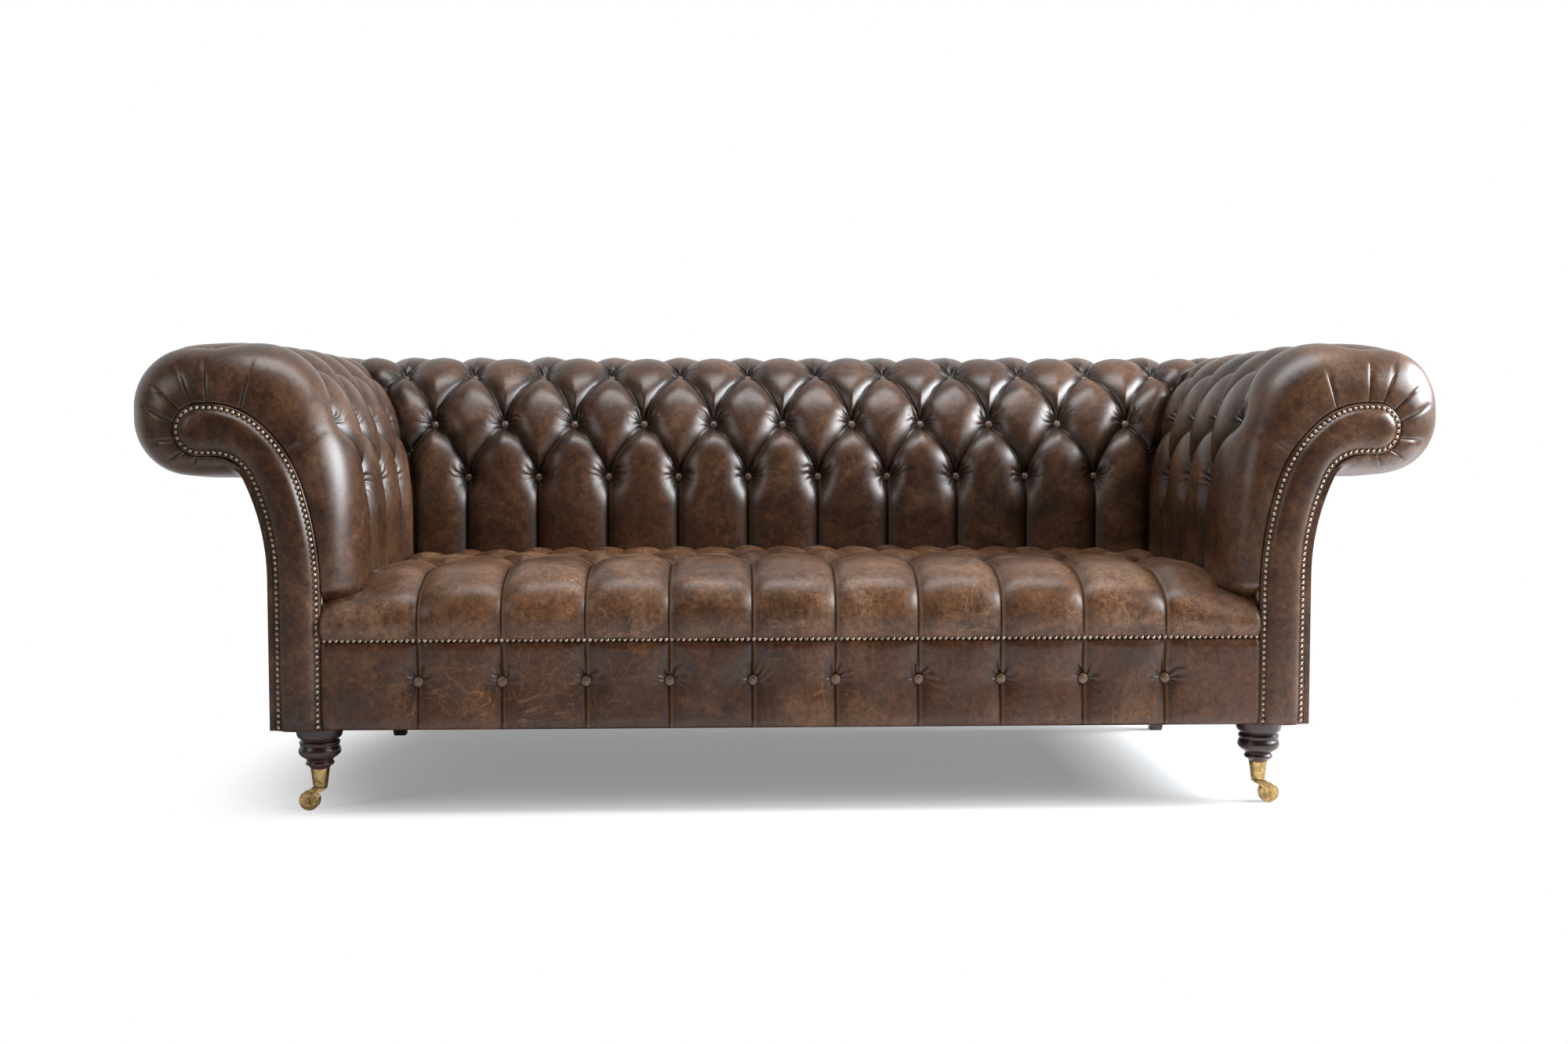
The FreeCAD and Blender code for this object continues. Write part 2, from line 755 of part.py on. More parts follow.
def make_outside_panels():
    place = arm_plane(panel_front_setback)
    outer = panel_edges(panel_gap + panel_thickness, place)
    inner = panel_edges(panel_gap, place)
    ends = [Part.makeLine(outer[0].Vertexes[0].Point, inner[0].Vertexes[0].Point),
            Part.makeLine(outer[-1].Vertexes[-1].Point, inner[-1].Vertexes[-1].Point)]
    face = Part.Face(Part.Wire(Part.__sortEdges__(outer + inner + ends)))
    put_pair("outside_arm_panel", face.extrude(Vector(0, back_frame_outer - panel_front_setback, 0)))
    top = along(crest, crest_length)[1] - soft_gap
    place = arm_plane(back_frame_outer + panel_gap)
    edges = panel_edges(panel_gap + panel_thickness, place)
    foot = edges[-1].Vertexes[-1].Point
    head = edges[0].Vertexes[0].Point
    corners = [Vector(0, foot.y, rail_bottom), Vector(0, head.y, head.z)]
    half = closed_face(edges, corners).extrude(Vector(0, panel_thickness, 0))
    panel = half.fuse(mirrored(half))
    limit = box(-2 * side_outer, 2 * side_outer, 0, 2 * seat_depth, 0, top)
    put("outside_back_panel", panel.common(limit).removeSplitter().Solids[0])
    half = side_outer - cover_inset
    cover = box(-half, half, cover_inset, back_frame_outer, rail_bottom - cover_thickness, rail_bottom)
    front_notch = leg_setback + leg_top_radius + cover_inset
    rear_notch = rear_leg_y - rear_leg_top / 2 - cover_inset
    side_notch = leg_x - leg_top_radius - cover_inset
    for side in (-1, 1):
        x0, x1 = sorted((side * side_notch, side * 2 * side_outer))
        cover = cover.cut(box(x0, x1, -1, front_notch, 0, rail_top))
        cover = cover.cut(box(x0, x1, rear_notch, 2 * seat_depth, 0, rail_top))
    put("dust_cover", cover)


# The turned front leg from its top down: each pair is a drop below the top and a radius
leg_turning = [(3.0, 38.0), (10.0, 32.3), (17.0, 36.0), (23.5, 32.3), (33.0, 35.3), (42.0, 32.5),
               (53.0, 21.8), (59.0, 23.2), (68.0, 17.2)]


def turned_solid(outline, x, y):
    points = [Vector(radius, 0, z) for radius, z in outline]
    face = Part.Face(Part.makePolygon(points + [points[0]]))
    solid = face.revolve(Vector(0, 0, 0), Vector(0, 0, 1), 360)
    solid.translate(Vector(x, y, 0))
    return solid


def cup_inner_radius(z):
    share = (z - horn_height) / cup_height
    return cup_foot_radius + share * (cup_mouth_radius - cup_foot_radius) - cup_wall


def make_front_legs():
    cup_top = horn_height + cup_height
    tenon_top = rail_bottom + tenon_length
    spigot_foot = horn_height + cup_floor + pin_collar_height + 2 * swivel_gap
    outline = [(0.0, tenon_top), (tenon_size / 2, tenon_top), (tenon_size / 2, rail_bottom),
               (leg_top_radius, rail_bottom)]
    outline += [(radius, rail_bottom - drop) for drop, radius in leg_turning]
    outline += [(cup_mouth_radius, cup_top + seat_clearance),
                (cup_inner_radius(cup_top) - seat_clearance, cup_top + seat_clearance),
                (cup_inner_radius(spigot_foot) - seat_clearance, spigot_foot), (0.0, spigot_foot)]
    legs = [turned_solid(outline, x, leg_setback) for x in (-leg_x, leg_x)]
    put("front_legs", Part.makeCompound(legs))


# A rear leg: square, tapered and raked back, with a square tenon
def make_rear_legs():
    rings = []
    for z, side, y in ((rail_bottom, rear_leg_top, rear_leg_y), (0.0, rear_leg_foot, rear_leg_y + rear_leg_rake)):
        half = side / 2
        corners = [Vector(leg_x + i * half, y + j * half, z) for i, j in ((-1, -1), (1, -1), (1, 1), (-1, 1))]
        rings.append(corners)
    half = tenon_size / 2
    tenon = box(leg_x - half, leg_x + half, rear_leg_y - half, rear_leg_y + half,
                rail_bottom, rail_bottom + tenon_length)
    put_pair("rear_leg", faceted_solid(rings).fuse(tenon).removeSplitter().Solids[0])


def both_castors(outline):
    return Part.makeCompound([turned_solid(outline, x, leg_setback) for x in (-leg_x, leg_x)])


def make_cups():
    hole = pin_radius + running_clearance
    top = horn_height + cup_height
    floor_top = horn_height + cup_floor
    put("castor_cups", both_castors([
        (hole, floor_top), (cup_inner_radius(floor_top), floor_top), (cup_inner_radius(top), top),
        (cup_mouth_radius, top), (cup_foot_radius, horn_height), (hole, horn_height)]))


def make_pins():
    collar = horn_height + cup_floor + pin_collar_height
    head = plate_bottom - swivel_gap
    put("castor_pins", both_castors([
        (0.0, collar), (pin_radius, collar), (pin_radius, head), (pin_head_radius, head),
        (pin_head_radius, head - pin_head_height), (0.0, head - pin_head_height)]))


# The horns are made on the right leg, trailing outward, and mirrored for the left.
# A swan-neck horn has a plate under the cup and two cheeks that sweep out to the axle.
def along_y(radius, y0, y1):
    return Part.makeCylinder(radius, y1 - y0, Vector(wheel_x, leg_setback + y0, wheel_radius), Vector(0, 1, 0))


def make_horns():
    back = leg_x - horn_half_length
    front = leg_x + horn_half_length
    y0, y1 = leg_setback - cheek_outer, leg_setback + cheek_outer
    horn = box(back, front, y0, y1, plate_bottom, plate_top)
    boss = cheek_boss_radius
    half = boss * math.sqrt(0.5)
    profile = [(back, plate_bottom), (back, plate_top), (front, plate_top), (front + 8.0, plate_top - 4.5),
               (wheel_x + boss - 0.5, wheel_radius + 10.0), (wheel_x + boss, wheel_radius),
               (wheel_x + half, wheel_radius - half), (wheel_x, wheel_radius - boss),
               (wheel_x - half, wheel_radius - half), (wheel_x - boss, wheel_radius),
               (leg_x + 8.0, plate_bottom - 11.0), (leg_x, plate_bottom - 5.0)]
    for side_y in (y0, y1 - cheek_thickness):
        points = [Vector(x, side_y, z) for x, z in profile]
        face = Part.Face(Part.makePolygon(points + [points[0]]))
        horn = horn.fuse(face.extrude(Vector(0, cheek_thickness, 0)))
    horn = horn.cut(cylinder(pin_radius + running_clearance, 0, horn_height, leg_x, leg_setback))
    horn = horn.cut(along_y(axle_radius + running_clearance, -cheek_outer - 1, cheek_outer + 1))
    put_pair("castor_horn", horn.removeSplitter().Solids[0])


def make_wheels():
    half = wheel_width / 2
    wheel = along_y(wheel_radius, -half, half).cut(along_y(axle_radius + running_clearance, -half, half))
    put_pair("castor_wheel", wheel.Solids[0])
    far = cheek_outer + axle_overhang
    put_pair("castor_axle", along_y(axle_radius, -far, far))


def build():
    make_pads()
    make_arm_fronts()
    make_top_rails()
    make_tack_rails()
    make_rear_boards()
    make_back_stays()
    make_seat_rails()
    make_seat_support()
    make_outside_panels()
    make_front_legs()
    make_rear_legs()
    make_cups()
    make_pins()
    make_horns()
    make_wheels()
    os.makedirs("parts", exist_ok=True)
    for name, shape in parts.items():
        shape.translate(Vector(0, -overall_depth / 2, 0))
        shape.exportStep("parts/" + name + ".step")


build()
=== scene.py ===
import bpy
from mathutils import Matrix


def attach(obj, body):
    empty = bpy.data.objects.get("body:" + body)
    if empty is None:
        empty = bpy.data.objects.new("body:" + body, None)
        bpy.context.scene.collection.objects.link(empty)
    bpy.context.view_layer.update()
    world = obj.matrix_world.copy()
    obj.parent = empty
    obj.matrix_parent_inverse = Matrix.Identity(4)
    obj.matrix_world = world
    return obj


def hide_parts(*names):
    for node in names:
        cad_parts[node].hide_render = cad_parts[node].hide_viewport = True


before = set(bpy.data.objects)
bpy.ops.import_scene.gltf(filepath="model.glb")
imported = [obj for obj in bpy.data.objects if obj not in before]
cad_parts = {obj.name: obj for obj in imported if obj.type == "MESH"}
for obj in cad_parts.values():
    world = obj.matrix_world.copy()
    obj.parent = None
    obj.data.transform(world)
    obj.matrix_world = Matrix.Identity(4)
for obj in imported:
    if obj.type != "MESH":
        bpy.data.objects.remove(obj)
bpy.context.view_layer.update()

import math
import bpy
import bmesh
import numpy as np
from mathutils import Matrix, Vector

print("frame loaded")

# Sizes are in metres. Depths are counted from the arm fronts, and frontShift puts them in place.
frontShift = -0.463805
clearance = 0.0006           # between neighbouring pads
layout = {
    "insideHalf": 0.735,     # half the width between the arms
    "seatDepth": 0.552,      # from the arm fronts to the padding of the back
    "pitch": 0.140,          # from button to button along a row
    "railBottom": 0.1445,
    "firstRow": 0.2575,      # how far up the padding the first row of buttons is
    "rowSpacing": [0.116, 0.136, 0.128],
    "pathStep": 0.001,
}
halfPitch = layout["pitch"] / 2


def tracePath(start, moves, heading=0.0, counts=None):
    # run, reach, rise and heading along a stroke of lines and arcs
    reach, rise = start
    run = 0.0
    out = [(run, reach, rise, heading)]
    for index, move in enumerate(moves):
        bend = 0.0 if move[0] == "line" else 1.0 / move[1]
        length = move[1] if move[0] == "line" else abs(move[1]) * math.radians(move[2])
        count = counts[index] if counts else max(1, round(length / layout["pathStep"]))
        part = length / count
        for _ in range(count):
            middle = heading + bend * part / 2
            reach += part * math.sin(middle)
            rise += part * math.cos(middle)
            heading += bend * part
            run += part
            out.append((run, reach, rise, heading))
    return np.array(out)


def along(trace, run):
    return [np.interp(run, trace[:, 0], trace[:, column]) for column in (1, 2, 3)]


def addObject(name, mesh, material=None):
    obj = bpy.data.objects.new(name, mesh)
    bpy.context.scene.collection.objects.link(obj)
    if material:
        mesh.materials.append(material)
    return obj


def newMesh(name, verts, faces):
    mesh = bpy.data.meshes.new(name)
    mesh.from_pydata([tuple(v) for v in verts], [], faces)
    return mesh


def ringFaces(count, rings):
    # Faces from ring to ring, each of so many points, and the two ends
    faces = [(a + k, a + (k + 1) % count, a + count + (k + 1) % count, a + count + k)
             for a in range(0, (rings - 1) * count, count) for k in range(count)]
    return faces + [tuple(range(count)), tuple(range((rings - 1) * count, rings * count))]


def outwardFaces(mesh):
    bm = bmesh.new()
    bm.from_mesh(mesh)
    bmesh.ops.remove_doubles(bm, verts=bm.verts, dist=1e-6)
    bmesh.ops.recalc_face_normals(bm, faces=bm.faces)
    bm.to_mesh(mesh)
    bm.free()
    mesh.polygons.foreach_set("use_smooth", [True] * len(mesh.polygons))


def addAttribute(mesh, name, values, kind="FLOAT"):
    layer = mesh.attributes.new(name, kind, "POINT")
    layer.data.foreach_set("vector" if kind == "FLOAT_VECTOR" else "value", np.ravel(values))


# Materials. Effects that several of them share are node groups.
def feed(tree, value, target):
    if isinstance(value, bpy.types.NodeSocket):
        tree.links.new(value, target)
    else:
        target.default_value = value


def put(tree, kind, **settings):
    # A new node. Each setting is a property of its own or one of its inputs.
    made = tree.nodes.new(kind)
    for key, value in settings.items():
        if key in made.bl_rna.properties:
            setattr(made, key, value)
        else:
            feed(tree, value, made.inputs[key.replace("_", " ")])
    return made


def maths(tree, operation, *values, clamp=False):
    made = put(tree, "ShaderNodeMath", operation=operation, use_clamp=clamp)
    for value, target in zip(values, made.inputs):
        feed(tree, value, target)
    return made.outputs[0]


def mixColor(tree, mode, factor, first, second):
    made = put(tree, "ShaderNodeMix", data_type="RGBA", blend_type=mode)
    for value, index in ((factor, 0), (first, 6), (second, 7)):
        feed(tree, value, made.inputs[index])
    return made.outputs[2]


def span(tree, value, lowest, highest, first, last, kind="LINEAR"):
    # From first at the lowest value to last at the highest
    return put(tree, "ShaderNodeMapRange", interpolation_type=kind, Value=value, From_Min=lowest,
               From_Max=highest, To_Min=first, To_Max=last).outputs[0]


def ramp(tree, source, *stops):
    made = put(tree, "ShaderNodeValToRGB", Fac=source)
    points = made.color_ramp.elements
    while len(points) < len(stops):
        points.new(0.5)
    for point, (position, value) in zip(points, stops):
        point.position = position
        point.color = (value, value, value, 1) if isinstance(value, float) else (*value, 1)
    return made.outputs[0]


def noise(tree, vector, scale, detail, rough, distort):
    return put(tree, "ShaderNodeTexNoise", Vector=vector, Scale=scale, Detail=detail, Roughness=rough,
               Distortion=distort).outputs["Fac"]


def objectPlace(tree):
    return put(tree, "ShaderNodeTexCoord").outputs["Object"]


def attribute(tree, name, output="Fac"):
    return put(tree, "ShaderNodeAttribute", attribute_name=name).outputs[output]


def newGroup(name, takes, gives):
    group = bpy.data.node_groups.new(name, "ShaderNodeTree")
    for label, value in takes.items():
        kind = "NodeSocketFloat" if isinstance(value, float) else "NodeSocketColor"
        group.interface.new_socket(name=label, in_out="INPUT", socket_type=kind).default_value = value
    for label in gives:
        kind = "NodeSocketColor" if label == "Color" else "NodeSocketFloat"
        group.interface.new_socket(name=label, in_out="OUTPUT", socket_type=kind)
    return group, group.nodes.new("NodeGroupInput").outputs, group.nodes.new("NodeGroupOutput").inputs


def placeGroup(tree, group, **values):
    made = tree.nodes.new("ShaderNodeGroup")
    made.node_tree = group
    for key, value in values.items():
        feed(tree, value, made.inputs[key])
    return made.outputs


hidePatterns = {
    # scale, detail, roughness and distortion, then what the lowest and the highest levels give
    "clouds": (3.2, 5, 0.6, 0.6, (0.36, 0.0), (0.62, 1.0)),
    "blotches": (24.0, 8, 0.7, 0.8, (0.40, 0.0), (0.62, 1.0)),
    "rubbing": (5.5, 8, 0.68, 1.2, (0.5, 0.0), (0.74, 1.0)),
    "patches": (7.0, 3, 0.5, 0.0, (0.47, 0.0), (0.6, 1.0)),
    "speckle": (110.0, 8, 0.75, 0.6, (0.34, 0.45), (0.66, 1.5)),
}
scratch = {
    # turn, stretch and shift of each set of thin lines
    "sets": [(0.6, (5, 24, 17), 0.0), (-0.7, (22, 6, 15), 4.0), (1.2, (16, 14, 5), 9.0)],
    "thinness": 160.0,
}


def makeHideColour():
    # Pull-up leather: clouds of dark and red-brown, rubbed tan patches, pale scratches
    group, given, result = newGroup("hideColour", {
        "Dark": (0.03, 0.012, 0.006, 1), "Body": (0.12, 0.045, 0.02, 1), "Rubbed": (0.3, 0.15, 0.075, 1),
        "Rubbing": 0.5, "Scratches": 0.4, "Fullness": 1.0}, ["Color", "Worn"])
    where = objectPlace(group)
    clouds, blotches, rubbing, patches, speckle = [
        ramp(group, noise(group, where, *values[:4]), *values[4:]) for values in hidePatterns.values()]
    blend = maths(group, "ADD", maths(group, "MULTIPLY", clouds, 0.55), maths(group, "MULTIPLY", blotches, 0.5),
                  clamp=True)
    base = mixColor(group, "MIX", blend, given["Dark"], given["Body"])
    rub = maths(group, "MULTIPLY", maths(group, "MULTIPLY", rubbing, given["Rubbing"]), given["Fullness"],
                clamp=True)
    colour = mixColor(group, "MIX", rub, base, given["Rubbed"])
    hairs = 0.0
    for turn, stretch, shift in scratch["sets"]:
        turned = put(group, "ShaderNodeMapping", Vector=where, Rotation=(turn, turn * 0.7, turn * 1.3),
                     Scale=stretch, Location=(shift, shift, shift))
        level = noise(group, turned.outputs[0], 1.0, 3, 0.5, 0.9)
        away = maths(group, "ABSOLUTE", maths(group, "SUBTRACT", level, 0.5))
        hair = maths(group, "SUBTRACT", 1.0, maths(group, "MULTIPLY", away, scratch["thinness"]), clamp=True)
        hairs = maths(group, "MAXIMUM", hairs, hair)
    scratches = maths(group, "MULTIPLY", maths(group, "MULTIPLY", hairs, patches), given["Scratches"])
    scratches = maths(group, "MULTIPLY", scratches, maths(group, "ADD", clouds, 0.25), clamp=True)
    colour = mixColor(group, "MIX", scratches, colour, given["Rubbed"])
    feed(group, mixColor(group, "MULTIPLY", 1.0, colour, speckle), result["Color"])
    feed(group, maths(group, "ADD", rub, scratches, clamp=True), result["Worn"])
    return group


def makeHideGrain():
    # Fine pebble grain and longer soft creases, as a height
    group, given, result = newGroup("hideGrain", {"Grain": 0.35, "Creasing": 0.5}, ["Height"])
    where = objectPlace(group)
    cells = put(group, "ShaderNodeTexVoronoi", feature="DISTANCE_TO_EDGE", Vector=where, Scale=420.0,
                Randomness=1.0)
    pebble = maths(group, "MULTIPLY", maths(group, "MINIMUM", cells.outputs["Distance"], 0.25), given["Grain"])
    soft = put(group, "ShaderNodeTexNoise", noise_type="RIDGED_MULTIFRACTAL", Vector=where, Scale=26.0,
               Detail=4.0, Roughness=0.5, Distortion=0.8)
    creased = maths(group, "MULTIPLY", soft.outputs["Fac"], given["Creasing"])
    feed(group, maths(group, "ADD", pebble, creased), result["Height"])
    return group


foldMarks = {
    "line": (0.0006, 0.0027),      # how far the painted dark shade line reaches from the crease: full, then gone
    "edge": (0.0015, 0.0075),      # the pale edge beside it
    "gathers": (0.008, 0.046),     # round a button
    "count": 11.0,                 # of gathers round a button
    "wander": 26.0,                # how unevenly they stand
}


def makeFolds():
    # What the stitched and folded lines do: a dark line of painted shade, a pale edge on one side and gathers
    # round each button
    group, given, result = newGroup("folds", {"Gathers": 1.0}, ["Line", "Edge", "Height"])
    crease, side = attribute(group, "crease"), attribute(group, "side")
    line = span(group, crease, *foldMarks["line"], 1.0, 0.0, "SMOOTHSTEP")
    edge = span(group, crease, *foldMarks["edge"], 1.0, 0.0, "SMOOTHSTEP")
    oneSide = maths(group, "MULTIPLY", edge, maths(group, "ADD", side, 0.15, clamp=True))
    offset = attribute(group, "buttonOffset", "Vector")
    apart = put(group, "ShaderNodeSeparateXYZ", Vector=offset).outputs
    length = put(group, "ShaderNodeVectorMath", operation="LENGTH", Vector=offset).outputs["Value"]
    angle = maths(group, "ARCTAN2", apart["Y"], apart["X"])
    wandering = noise(group, objectPlace(group), 14.0, 2, 0.5, 0.0)
    turns = maths(group, "ADD", maths(group, "MULTIPLY", angle, foldMarks["count"]),
                  maths(group, "MULTIPLY", wandering, foldMarks["wander"]))
    reach = span(group, length, *foldMarks["gathers"], 1.0, 0.0, "SMOOTHSTEP")
    above = maths(group, "DIVIDE", apart["Y"], maths(group, "MAXIMUM", length, 0.001))
    above = maths(group, "MULTIPLY_ADD", above, 0.75, 0.45)          # the gathers are strongest above a button
    pull = maths(group, "MULTIPLY", reach, maths(group, "MAXIMUM", above, 0.12))
    gathers = maths(group, "MULTIPLY", maths(group, "MULTIPLY", maths(group, "SINE", turns), pull),
                    given["Gathers"])
    feed(group, line, result["Line"])
    feed(group, oneSide, result["Edge"])
    feed(group, maths(group, "SUBTRACT", gathers, maths(group, "MULTIPLY", line, 1.2)), result["Height"])
    return group


hideColour, hideGrain, folds = makeHideColour(), makeHideGrain(), makeFolds()


def newTree(block, output="ShaderNodeOutputMaterial"):
    block.use_nodes = True
    block.node_tree.nodes.clear()
    return block.node_tree, put(block.node_tree, output).inputs["Surface"]


def newMaterial(name, **settings):
    material = bpy.data.materials.new(name)
    tree, surface = newTree(material)
    shader = put(tree, "ShaderNodeBsdfPrincipled", **settings)
    feed(tree, shader.outputs[0], surface)
    return material, tree, shader.inputs


def bump(tree, height, strength, distance, **more):
    return put(tree, "ShaderNodeBump", Strength=strength, Distance=distance, Height=height, **more).outputs[0]


def makeLeather(name, dark, body, rubbed, rubbing, scratches, roughness=0.33, padded=True, gathers=1.5,
                hollowShade=0.10, gloss=0.46, line=0.65, edge=0.30):
    material, tree, shader = newMaterial(name, Coat_Weight=0.06, Coat_Roughness=0.22, Specular_IOR_Level=gloss)
    fullness = attribute(tree, "fullness") if padded else 1.0
    colour = placeGroup(tree, hideColour, Dark=(*dark, 1), Body=(*body, 1), Rubbed=(*rubbed, 1),
                        Rubbing=rubbing, Scratches=scratches, Fullness=fullness)
    grain = placeGroup(tree, hideGrain, Grain=0.5, Creasing=0.55)
    result, under = colour["Color"], {}
    if padded:
        fold = placeGroup(tree, folds, Gathers=gathers)
        # Painted shade and light: the colour is darkened where the padding is less full, at creases, button
        # pits and seams, and lifted a little on the fullest parts
        shade = span(tree, fullness, 0.0, 0.8, hollowShade, 1.05)
        result = mixColor(tree, "MULTIPLY", 1.0, result, shade)
        # A pale edge along one side of each crease
        result = mixColor(tree, "MIX", maths(tree, "MULTIPLY", fold["Edge"], edge), result, (*rubbed, 1))
        # Painted shade: a dark line along each crease
        result = mixColor(tree, "MIX", maths(tree, "MULTIPLY", fold["Line"], line), result,
                          (0.008, 0.004, 0.003, 1))
        under = {"Normal": bump(tree, fold["Height"], 0.55, 0.0016)}
    feed(tree, bump(tree, grain["Height"], 0.35, 0.0009, **under), shader["Normal"])
    feed(tree, result, shader["Base Color"])
    feed(tree, span(tree, colour["Worn"], 0.0, 1.0, roughness, roughness + 0.22), shader["Roughness"])
    return material


def makeWood(name, dark, light, roughness, coat, scale=9.0):
    material, tree, shader = newMaterial(name, Coat_Weight=coat, Coat_Roughness=0.15)
    stretch = put(tree, "ShaderNodeMapping", Vector=objectPlace(tree),
                  Scale=(scale * 4, scale * 4, scale * 0.5))
    rings = noise(tree, stretch.outputs[0], 1.6, 6, 0.6, 1.4)
    pores = noise(tree, stretch.outputs[0], 14.0, 3, 0.6, 0.0)
    feed(tree, ramp(tree, rings, (0.3, dark), (0.62, light), (0.8, dark)), shader["Base Color"])
    feed(tree, span(tree, pores, 0.3, 0.7, roughness - 0.06, roughness + 0.1), shader["Roughness"])
    feed(tree, bump(tree, pores, 0.2, 0.0006), shader["Normal"])
    return material


def makeBrass(name, bright, aged, roughness):
    material, tree, shader = newMaterial(name, Metallic=1.0)
    where = objectPlace(tree)
    stain = ramp(tree, noise(tree, where, 70.0, 5, 0.65, 0.5), (0.42, 0.0), (0.68, 1.0))
    feed(tree, mixColor(tree, "MIX", stain, (*bright, 1), (*aged, 1)), shader["Base Color"])
    feed(tree, span(tree, stain, 0.0, 1.0, roughness, roughness + 0.25), shader["Roughness"])
    feed(tree, bump(tree, noise(tree, where, 420.0, 3, 0.6, 0.0), 0.12, 0.0004), shader["Normal"])
    return material


def makeCloth(name, dark, light, count):
    # Plain weave: two crossed sets of threads, count to the metre
    material, tree, shader = newMaterial(name, Roughness=0.9)
    where = objectPlace(tree)
    threads = [put(tree, "ShaderNodeTexWave", bands_direction=direction, Vector=where,
                   Scale=count / 6.283, Distortion=0.4).outputs["Fac"] for direction in ("X", "Y")]
    weave = maths(tree, "MULTIPLY", *threads)
    fuzz = noise(tree, where, 60.0, 4, 0.6, 0.0)
    tone = maths(tree, "ADD", weave, maths(tree, "MULTIPLY", fuzz, 0.4), clamp=True)
    feed(tree, mixColor(tree, "MIX", tone, (*dark, 1), (*light, 1)), shader["Base Color"])
    feed(tree, bump(tree, weave, 0.5, 0.0005), shader["Normal"])
    return material


hide = {
    "padding": dict(dark=(0.020, 0.0080, 0.0040), body=(0.074, 0.031, 0.0130), rubbed=(0.18, 0.090, 0.043),
                    rubbing=0.5, scratches=0.10),
    "seat": dict(dark=(0.030, 0.013, 0.0070), body=(0.128, 0.056, 0.0245), rubbed=(0.27, 0.150, 0.085),
                 rubbing=0.65, scratches=0.60, roughness=0.38, hollowShade=0.58, gloss=0.32, line=0.30, edge=0.45),
    "border": dict(dark=(0.024, 0.0100, 0.0052), body=(0.070, 0.0255, 0.0092), rubbed=(0.20, 0.090, 0.035),
                   rubbing=0.55, scratches=0.60, gathers=1.4, hollowShade=0.55, gloss=0.34, line=0.30, edge=0.60),
    "button": dict(dark=(0.060, 0.030, 0.017), body=(0.165, 0.092, 0.055), rubbed=(0.25, 0.15, 0.1),
                   rubbing=0.4, scratches=0.1, padded=False),
}
padLeather = makeLeather("padLeather", **hide["padding"])
seatLeather = makeLeather("seatLeather", **hide["seat"])
borderLeather = makeLeather("borderLeather", **hide["border"])
panelLeather = makeLeather("panelLeather", **hide["padding"], padded=False, gloss=0.34)
buttonLeather = makeLeather("buttonLeather", **hide["button"])
legWood = makeWood("legWood", (0.009, 0.003, 0.0025), (0.030, 0.008, 0.005), 0.30, 0.08)
frameWood = makeWood("frameWood", (0.36, 0.24, 0.14), (0.55, 0.4, 0.26), 0.6, 0.0)
agedBrass = makeBrass("agedBrass", (0.42, 0.29, 0.12), (0.15, 0.095, 0.04), 0.22)
nailBrass = makeBrass("nailBrass", (0.46, 0.38, 0.29), (0.16, 0.12, 0.09), 0.28)
webCloth = makeCloth("webCloth", (0.16, 0.12, 0.07), (0.42, 0.34, 0.22), 500)
hessianCloth = makeCloth("hessianCloth", (0.2, 0.14, 0.07), (0.5, 0.4, 0.25), 700)
dustCloth = makeCloth("dustCloth", (0.008, 0.008, 0.008), (0.03, 0.03, 0.03), 1200)
print("materials made")


# Padding with buttons. It is drawn on a flat sheet of across and run, then wrapped round the crest.
padding = {
    "loft": 0.006,            # how far the fullest part stands above the crest
    "seamDepth": 0.012,       # of the creases below the first row
    "creaseDepth": 0.012,     # of the creases between the buttons
    "rollDepth": 0.009,       # of the creases on the roll, and at its end
    "endDepth": 0.006,
    "pitDepth": 0.018,        # more at the buttons
    "pitRadius": 0.028,
    "puffWidth": 0.050,       # from a crease to where the padding is full
    "uneven": 0.0022,
    "fold": 0.0009,           # one side of a crease laps over the other
    "foldWidth": 0.006,
    "drawnIn": 0.012,         # where the padding meets its neighbour
    "buttonRise": 0.0035,     # from the bottom of a pit to the middle of its button
    "buttonMargin": 0.03,     # from the last button to the neighbour
    "archPower": 1.45,        # creases rise upright from a button and lean over to the one above
    "archCuts": 7,
    "cuts": 12,               # between two creases
    "rounding": 0.6,          # how much closer together the cuts are beside a crease
    "rowStep": 0.0062,
    "sliver": 0.0006,         # from a crease to the cuts at its sides
    "cutGap": 0.0015,
    "gatherReach": 0.055,     # the farthest that a button is felt
}
away = 9.0                    # stands for no button near


def wander(across, run, seed):
    # Slow unevenness between -1 and 1, the same on every run
    rng = np.random.default_rng(seed)
    total = np.zeros_like(across)
    for _ in range(7):
        length = rng.uniform(0.07, 0.3)
        turn, start = rng.uniform(0, 2 * math.pi), rng.uniform(0, 2 * math.pi)
        total += np.sin((across * math.cos(turn) + run * math.sin(turn)) * 2 * math.pi / length + start)
    return total / 7


def creaseLines(centres, rows, low, high):
    # Creases between buttons: upright to the first row, arched between rows, upright again
    wide = [centres[0] + halfPitch * 2 * index for index in range(-4, len(centres) + 4)]
    lines = [(c, low, c, rows[0]) for c in wide]
    shares = np.linspace(0, 1, padding["archCuts"])
    for index in range(len(rows) - 1):
        shift = halfPitch * (index % 2)
        for c in wide:
            for side in (-halfPitch, halfPitch):
                xs = c + shift + side * shares ** padding["archPower"]
                ys = rows[index] + (rows[index + 1] - rows[index]) * shares
                lines += [tuple(part) for part in zip(xs[:-1], ys[:-1], xs[1:], ys[1:])]
    if high is not None:
        shift = halfPitch * ((len(rows) - 1) % 2)
        lines += [(c + shift, rows[-1], c + shift, high) for c in wide]
    return lines


def nearLines(across, run, lines):
    # Distance to the nearest line, and on which side of it
    best = np.full(across.shape, away)
    side = np.zeros(across.shape)
    for x0, y0, x1, y1 in lines:
        dx, dy = x1 - x0, y1 - y0
        share = np.clip(((across - x0) * dx + (run - y0) * dy) / (dx * dx + dy * dy), 0, 1)
        offX, offY = across - x0 - share * dx, run - y0 - share * dy
        far = np.hypot(offX, offY)
        closer = far < best
        best = np.where(closer, far, best)
        side = np.where(closer, np.sign(offX), side)
    return best, side


